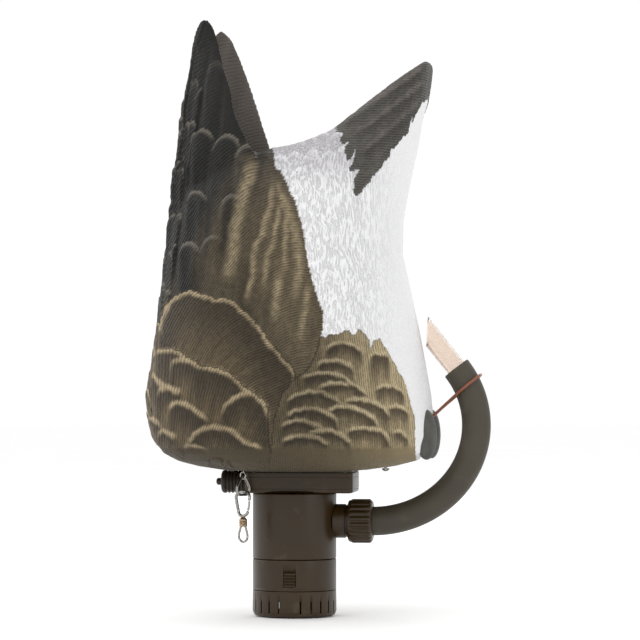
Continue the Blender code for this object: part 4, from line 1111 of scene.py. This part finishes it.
def make_housing():
    """The pump's upper body, a cup upside down, and the stepped neck of its outlet."""
    low, high = box_mm("pump_housing")
    inside = PUMP_R - 2.5
    ceiling = high[2] - 3.2
    cup = [(inside, low[2]), (PUMP_R, low[2]), (PUMP_R, low[2] + 20), (PUMP_R, high[2]), (4.0, high[2]),
           (4.0, ceiling), (inside, ceiling)]
    add_piece("pump_upper_body", turned(rounded(cup, 1.0), 120), brown_plastic(), "root", ["pump_housing"])
    neck = [(5.8, 29.6), (12.7, 29.6), (12.7, 38.6), (11.9, 38.8), (11.9, 39.8), (12.7, 40.0), (12.7, 47.0),
            (7.7, 47.0), (7.7, 55.0), (6.9, 57.0), (5.8, 57.0)]
    shape = turned(rounded(neck, 0.3, 2), 96, (0, 0, OUTLET_Z), "X")
    add_piece("outlet_neck", shape, brown_plastic(), "root")


def make_base_ring():
    """The pump's lower ring, with openings for the latch tabs."""
    low, high = box_mm("pump_base_ring")
    top = 42.4
    spigot = 28.4
    ring = [(9.0, low[2]), (PUMP_R, low[2]), (PUMP_R, low[2] + 1.2), (PUMP_R - 0.25, low[2] + 1.5),
            (PUMP_R, low[2] + 1.8), (PUMP_R, top), (spigot, top), (spigot, high[2]), (25.9, high[2]),
            (25.9, top - 4.0), (spigot, top - 5.5), (spigot, low[2] + 2.4), (9.0, low[2] + 2.4)]
    shape = turned(rounded(ring, 0.45, 3), 120)
    piece = add_piece("pump_lower_body", shape, brown_plastic(), "root", ["pump_base_ring"])
    room = np.array((0.4, 2.5, 0.4))
    tabs = [box_mm(node) for node in ("near_latch_tab", "far_latch_tab")]
    cut_with(piece, *blocks([(tab_low - room, tab_high + room, 0.0) for tab_low, tab_high in tabs]))


def make_strainer():
    """The strainer cup, slotted all round but for the two places at its latches."""
    low, high = box_mm("pump_strainer")
    radius = high[0]
    cup = [(0.4, 0.0), (radius - 3.6, 0.0), (radius - 1.0, 1.0), (radius, 3.8), (radius, high[2]),
           (radius - 2.2, high[2]), (radius - 2.2, 2.4), (0.4, 2.4)]
    shape = turned(rounded(cup, 0.6, 3), 144)
    piece = add_piece("strainer_cup", shape, brown_plastic(), "strainer", ["pump_strainer"])
    low_slot, high_slot = (25, -SLOT_HALF, 3.0), (36, SLOT_HALF, 12.0)
    turns = [-pi / 2 + 2 * pi * k / SLOT_COUNT for k in range(SLOT_COUNT) if k % (SLOT_COUNT // 2)]
    cut_with(piece, *blocks([(low_slot, high_slot, turn) for turn in turns]))


def make_latch_tabs():
    """Ribbed press tabs, their ribs rounded."""
    for node, body, side in (("near_latch_tab", "near_tab", -1), ("far_latch_tab", "far_tab", 1)):
        low, high = box_mm(node)
        face = max(abs(low[1]), abs(high[1])) - TAB_RIB
        back = face - 2.2
        outline = [(back, low[2]), (face, low[2])]
        for rib in range(4):
            for k in range(5):
                outline.append((face + TAB_RIB * sin(pi * k / 4), low[2] + 1.0 + rib * 2.1 + 1.5 * k / 4))
        outline += [(face, high[2]), (back, high[2])]
        rings = []
        for x in np.linspace(low[0], high[0], 9):
            edge = 0.35 * (abs(x) / high[0]) ** 6
            rings.append([(x, side * (y - (edge if y > face - 1 else 0)), z) for y, z in outline])
        add_piece(node + "_ribbed", ring_loft(rings), brown_plastic(), body, [node])


def make_nut():
    """Gland nut with rounded grip ribs between two plain collars."""
    low, high = box_mm("outlet_nut")
    segments = NUT_RIBS * 14
    angle = np.linspace(0, 2 * pi, segments, endpoint=False)
    wave = np.clip(np.cos(angle * NUT_RIBS) * 1.5 + 0.3, -1, 1) * 0.5 + 0.5
    # Place along the nut, radius, and how much of the ribs shows there.
    stations = [(0.0, 14.6, 0.0), (0.3, 15.2, 0.0), (1.2, 15.6, 0.0), (2.0, 15.7, 0.0), (2.4, 15.4, 0.5),
                (3.2, 15.3, 1.0), (15.4, 15.3, 1.0), (16.0, 15.4, 0.8), (16.8, 15.3, 0.5), (17.6, 14.9, 0.15),
                (high[0] - low[0], 14.0, 0.0)]
    outline = [(low[0] + offset, radius + NUT_RIB * wave * ribs) for offset, radius, ribs in stations]
    shoulder = high[0] - 5.6
    for x, radius in ((high[0], 11.1), (shoulder, 11.1), (shoulder, 13.1), (low[0], 13.1)):
        outline.append((x, np.full(segments, radius)))
    loops = [np.stack([np.full(segments, x), radii * np.sin(angle), OUTLET_Z + radii * np.cos(angle)], 1)
             for x, radii in outline]
    add_piece("gland_nut", ring_loft(loops, True), brown_plastic(), "nut", ["outlet_nut"], sharp=32)


def hose_point(angle):
    return np.array((HOSE_ARC_CENTRE[0] + HOSE_ARC_RADII[0] * sin(angle), 0.0,
                     HOSE_ARC_CENTRE[1] - HOSE_ARC_RADII[1] * cos(angle)))


def hose_direction(angle):
    return unit(np.array((HOSE_ARC_RADII[0] * cos(angle), 0.0, HOSE_ARC_RADII[1] * sin(angle))))


def make_hose():
    """A thick-walled hose, its free end cut a little unevenly."""
    sides = 56
    start = np.array((box_mm("hose")[0][0], 0.0, OUTLET_Z))
    arc = [hose_point(HOSE_ARC_END * k / 96) for k in range(97)]
    path = np.array([start, (start + hose_point(0.0)) / 2] + arc)
    outer = sweep(path, HOSE_RADII[0], sides)
    inner = sweep(path, HOSE_RADII[1], sides)
    lip = sweep(path[-2:], HOSE_RADII[0] - 0.5, sides)[-1]
    notch = np.maximum(0, np.cos(np.linspace(0, 2 * pi, sides, endpoint=False) * 3 + 0.6)) ** 8 * 0.9
    way = hose_direction(HOSE_ARC_END)
    outer[-1] = outer[-1] - way * 0.4
    lip = lip - notch[:, None] * way
    shape = ring_loft(outer + [lip] + inner[::-1], True)
    add_piece("jet_hose", shape, black_rubber(), "root", ["hose"], sharp=50)


def make_nozzle():
    """A clear tube with a slanted mouth, pushed a little way into the hose."""
    end = hose_point(HOSE_ARC_END)
    along = hose_direction(HOSE_ARC_END)
    across = np.cross((0.0, 1.0, 0.0), along)
    across *= np.sign(across[0])
    angle = np.linspace(0, 2 * pi, 72, endpoint=False)
    slope = (NOZZLE_REACH[1] - NOZZLE_REACH[0]) / (2 * NOZZLE_RADII[0])
    outside, bore = NOZZLE_RADII
    rings = []
    outline = [(outside, 0.0), (outside, 0.5), (outside, 1.0), (bore, 1.0), (bore, 0.5), (bore, 0.0)]
    for radius, share in outline:
        mouth = sum(NOZZLE_REACH) / 2 + slope * np.cos(angle) * radius
        reach = -NOZZLE_INSERT + (mouth + NOZZLE_INSERT) * share
        rings.append(end + np.outer(reach, along) + np.outer(np.cos(angle) * radius, across)
                     + np.outer(np.sin(angle) * radius, (0.0, 1.0, 0.0)))
    add_piece("jet_nozzle", ring_loft(rings, True), clear_plastic(), "jet", ["nozzle"], sharp=40)


def make_tie_wire():
    """One wire out of the belly, round the hose and back beside its start."""
    centre = hose_point(TIE_ANGLE)
    along = hose_direction(TIE_ANGLE)
    out = Vector((along[2], 0, -along[0]))
    out.rotate(Matrix.Rotation(-TIE_TILT, 3, "Y"))
    out = np.array(out)
    x, z = TIE_START
    leg = [(x - 4, 2.4, z - 2.6), (x, 2.2, z), (111.0, 1.9, 155.5)]
    points = [(x, -y, z) for x, y, z in leg]
    for angle in np.arange(2, 15) * pi / 8:
        points.append(centre - out * cos(angle) * TIE_RING_R * 1.03
                      + np.array((0.0, -1.0, 0.0)) * sin(angle) * TIE_RING_R)
    wire = rod(curve_through(points + leg[::-1]), TIE_WIRE_R, 16)
    add_piece("hose_tie", wire, tie_coating(), "root", ["tie_wire"], 60)


def make_switch():
    """Bellows boot and its push button."""
    low, high = box_mm("switch_boot")
    crest = (high[2] - low[2]) / 2
    root = crest - BOOT_FOLD
    axis = (0, 0, (high[2] + low[2]) / 2)
    pitch = (high[0] - low[0] - 4.4) / BOOT_FOLDS
    skin = []
    for k in range(BOOT_FOLDS * 10 + 1):
        share = k / 10
        skin.append((root + BOOT_FOLD * cos(2 * pi * share), low[0] + 3.0 + share * pitch))
    shoulder = [(crest - 2.4 * (1 - sin(a)), low[0] + 2.4 * (1 - cos(a))) for a in np.linspace(0, pi / 2, 6)]
    mouth = [(root, high[0] - 0.6), (root, high[0]), (5.7, high[0]), (5.7, low[0] + 1.6),
             (2.95, low[0] + 1.6)]
    shape = turned([(2.95, low[0])] + shoulder + skin + mouth, 64, axis, "X")
    add_piece("bellows_boot", shape, boot_rubber(), "root", ["switch_boot"])
    start, end = box_mm("switch_button")
    radius = (end[2] - start[2]) / 2
    dome = [(radius * sin(a) + 0.02, start[0] + 1.6 * (1 - cos(a))) for a in np.linspace(0, pi / 2, 7)]
    shape = turned(dome + [(radius, end[0])], 48, axis, "X", closed=False)
    add_piece("push_button", shape, boot_rubber(), "button", ["switch_button"], 60)


def tackle_point(along_hook, along_ring, height):
    """A spot in the planes of the hook and of the ring, which stand across each other."""
    hook_way = np.array((cos(TACKLE_TURN), sin(TACKLE_TURN), 0.0))
    ring_way = np.array((sin(TACKLE_TURN), -cos(TACKLE_TURN), 0.0))
    return np.array((*TACKLE_XY, height)) + hook_way * along_hook + ring_way * along_ring


def both_halves(half):
    """A closed outline from the points of its one half, top to bottom."""
    return half + [(-s, z) for s, z in half[-2:0:-1]]


def make_eyelet():
    """A screw eye: a bent loop that runs into its shank."""
    loop = [tackle_point(2.4 * sin(a), 0, 105.5 + 2.4 * cos(a)) for a in np.linspace(0.25, 2 * pi - 0.25, 20)]
    path = np.vstack([tackle_point(0.35, 0, 110.0), tackle_point(0.5, 0, 108.6), loop])
    shape = rod(curve_through(path, 3), 0.7, 12)
    add_piece("screw_eye", shape, steel(), "root", ["anchor_eyelet"], sharp=60)


def make_ring():
    """Tear-shaped ring, pointed at the top."""
    low, high = box_mm("tackle_ring")
    top, bottom = high[2] - 0.8, low[2] + 0.8
    half = [(0, top), (1.9, top - 1.4), (5.4, top - 5.6), (7.0, top - 9.4), (6.1, bottom + 1.0),
            (3.4, bottom), (0, bottom)]
    path = curve_through([tackle_point(0, s, z) for s, z in both_halves(half)], 6, True)
    shape = rod(path, 1.0, closed=True)
    add_piece("tear_ring", shape, steel(), "ring", ["tackle_ring"], sharp=60)


def make_snap_hook():
    """The hook's bent frame, and the spring gate across its opening."""
    frame_line = [(5.9, 87.5), (6.2, 89.6), (5.0, 92.0), (2.4, 93.3), (-1.2, 93.5), (-4.8, 92.3),
                  (-6.8, 89.6), (-6.4, 86.0), (-5.2, 81.0), (-3.9, 76.8), (-1.8, 75.5), (1.0, 75.6),
                  (3.4, 77.0), (4.6, 78.4)]
    gate_line = [(4.9, 79.9), (5.6, 83.0), (5.9, 86.0)]
    for name, line, radius, body, node in (("snap_frame", frame_line, 1.15, "hook", "snap_hook"),
                                           ("snap_latch", gate_line, 0.8, "gate", "snap_gate")):
        path = curve_through([tackle_point(s, 0, z) for s, z in line], 6)
        add_piece(name, rod(path, radius), steel(), body, [node], sharp=60)


def make_swivel():
    """The swivel's grooved barrel, and the eye that turns in it."""
    barrel = [(0.3, 67.6), (2.4, 67.6), (3.0, 68.2), (3.0, 69.3), (2.6, 69.6), (3.0, 69.9), (3.0, 71.2),
              (2.6, 71.5), (3.0, 71.8), (2.9, 72.9), (2.0, 74.0), (1.3, 74.6), (1.2, 75.6), (0.3, 75.8)]
    shape = turned(rounded(barrel, 0.3, 2, closed=False), 40, (*TACKLE_XY, 0), closed=False)
    add_piece("swivel_body", shape, brass(), "hook", ["swivel_barrel"], sharp=60)
    low, high = box_mm("swivel_eye")
    middle = (low[2] + high[2]) / 2
    half = [(0, high[2] + 1.0), (1.7, high[2] + 0.7), (3.0, high[2] - 2.4), (4.2, middle - 0.4),
            (3.4, low[2] + 2.6), (0, low[2] + 0.9)]
    path = curve_through([tackle_point(s, 0, z) for s, z in both_halves(half)], 5, True)
    shape = rod(path, 0.85, closed=True)
    add_piece("swivel_loop", shape, steel(), "swivel", ["swivel_eye"], sharp=60)


def make_underside_screw():
    """Pan head with a cross recess."""
    low, high = box_mm("underside_screw")
    rim, top = low[2], high[2]
    head = [(0.2, rim), (1.6, rim + 0.25), (2.7, rim + 1.2), (2.9, rim + 2.2), (1.2, rim + 2.4),
            (1.2, top - 1.0), (0.2, top)]
    middle = (low[0] + high[0]) / 2
    shape = turned(head, 40, (middle, 0, 0), closed=False)
    piece = add_piece("belly_screw", shape, steel(), "root", ["underside_screw"])
    for x, y in ((1.7, 0.3), (0.3, 1.7)):
        cut_with(piece, *blocks([((middle - x, -y, rim - 1), (middle + x, y, rim + 0.9), 0.0)]))


def make_feet():
    """Tucked feet: pads with shallow creases between the toes."""
    turn = np.linspace(0, 2 * pi, 72, endpoint=False)
    for node, side in (("near_foot", -1), ("far_foot", 1)):
        angle = FOOT_TURN * side
        rows = []
        for lift in np.linspace(-0.995, 0.995, 48):
            height = sin(lift * pi / 2)
            round_off = sqrt(max(1 - height * height, 0))
            crease = 1 - 0.05 * np.maximum(0, np.cos(3 * turn)) ** 6 * (1 - height * height)
            x = FOOT_RADII[0] * round_off * np.cos(turn) * crease
            y = FOOT_RADII[1] * round_off * (1 - 0.28 * height) * np.sin(turn)
            rows.append(np.stack([FOOT_CENTRE[0] + x * cos(angle) - y * sin(angle),
                                  side * FOOT_CENTRE[1] + x * sin(angle) + y * cos(angle),
                                  np.full_like(x, FOOT_CENTRE[2] + FOOT_RADII[2] * height)], 1))
        add_piece(node + "_pad", ring_loft(rows), foot_plastic(), "root", [node], sharp=80)


# ---- stage
def make_camera():
    """The camera, a little round towards the belly and aimed at the middle of the side view."""
    data = bpy.data.cameras.new("camera")
    data.sensor_width = SENSOR_WIDTH
    data.lens = SENSOR_WIDTH * VIEW_DISTANCE / VIEW_SPAN
    data.clip_end = 50.0
    camera = link("camera", data)
    right = Vector((cos(VIEW_AZIMUTH), sin(VIEW_AZIMUTH), 0))
    ahead = Vector((-sin(VIEW_AZIMUTH), cos(VIEW_AZIMUTH), 0))
    aim = right * VIEW_AIM[0] * MM + Vector((0, 0, VIEW_AIM[1] * MM))
    place = right * VIEW_AIM[0] * MM - ahead * VIEW_DISTANCE * MM + Vector((0, 0, VIEW_HEIGHT * MM))
    camera.location = place
    camera.rotation_euler = (aim - place).to_track_quat("-Z", "Y").to_euler()
    bpy.context.scene.camera = camera


def add_light(name, place, size, power):
    data = bpy.data.lights.new(name, "AREA")
    data.shape = "DISK"
    data.size = size
    data.energy = power
    light = link(name, data)
    light.location = place
    light.rotation_euler = (Vector(LIGHT_AIM) - Vector(place)).to_track_quat("-Z", "Y").to_euler()


def make_stage():
    """A pale round floor, a white world and four soft lamps."""
    n = Nodes("floor_paint")
    cloud = n.noise(3.0, 2.0)
    share = n.ramp(cloud, 0.3, 0.7, 0.0, 1.0)
    n.surface(Base_Color=n.mix(share, (0.96, 0.96, 0.96, 1), (0.98, 0.98, 0.98, 1)),
              Roughness=n.ramp(cloud, 0.3, 0.7, 0.85, 0.9))
    mesh = bpy.data.meshes.new("floor")
    bm = bmesh.new()
    bmesh.ops.create_circle(bm, cap_ends=True, segments=96, radius=14.0)
    bm.to_mesh(mesh)
    bm.free()
    mesh.materials.append(n.material)
    floor = link("floor", mesh)
    floor.location.z = -0.0005
    world = bpy.data.worlds.new("studio")
    world.use_nodes = True
    back = world.node_tree.nodes["Background"]
    back.inputs["Color"].default_value = (1.0, 1.0, 1.0, 1.0)
    back.inputs["Strength"].default_value = 1.02
    bpy.context.scene.world = world
    add_light("key", (-1.1, -1.9, 1.9), 1.2, 16)
    add_light("fill", (1.9, -1.4, 0.9), 1.4, 5)
    add_light("back_rim", (0.6, 2.0, 1.6), 1.2, 10)
    add_light("side_rim", (-2.0, 1.0, 1.2), 1.2, 9)
    bpy.context.scene.view_settings.view_transform = "Standard"


for imported in list(bpy.data.materials):
    bpy.data.materials.remove(imported)
for make in (make_camera, make_stage, dress_nodes, make_shell, make_feet, make_box, make_housing,
             make_base_ring, make_strainer, make_latch_tabs, make_nut, make_hose, make_nozzle,
             make_tie_wire, make_switch, make_eyelet, make_ring, make_snap_hook, make_swivel,
             make_underside_screw):
    make()
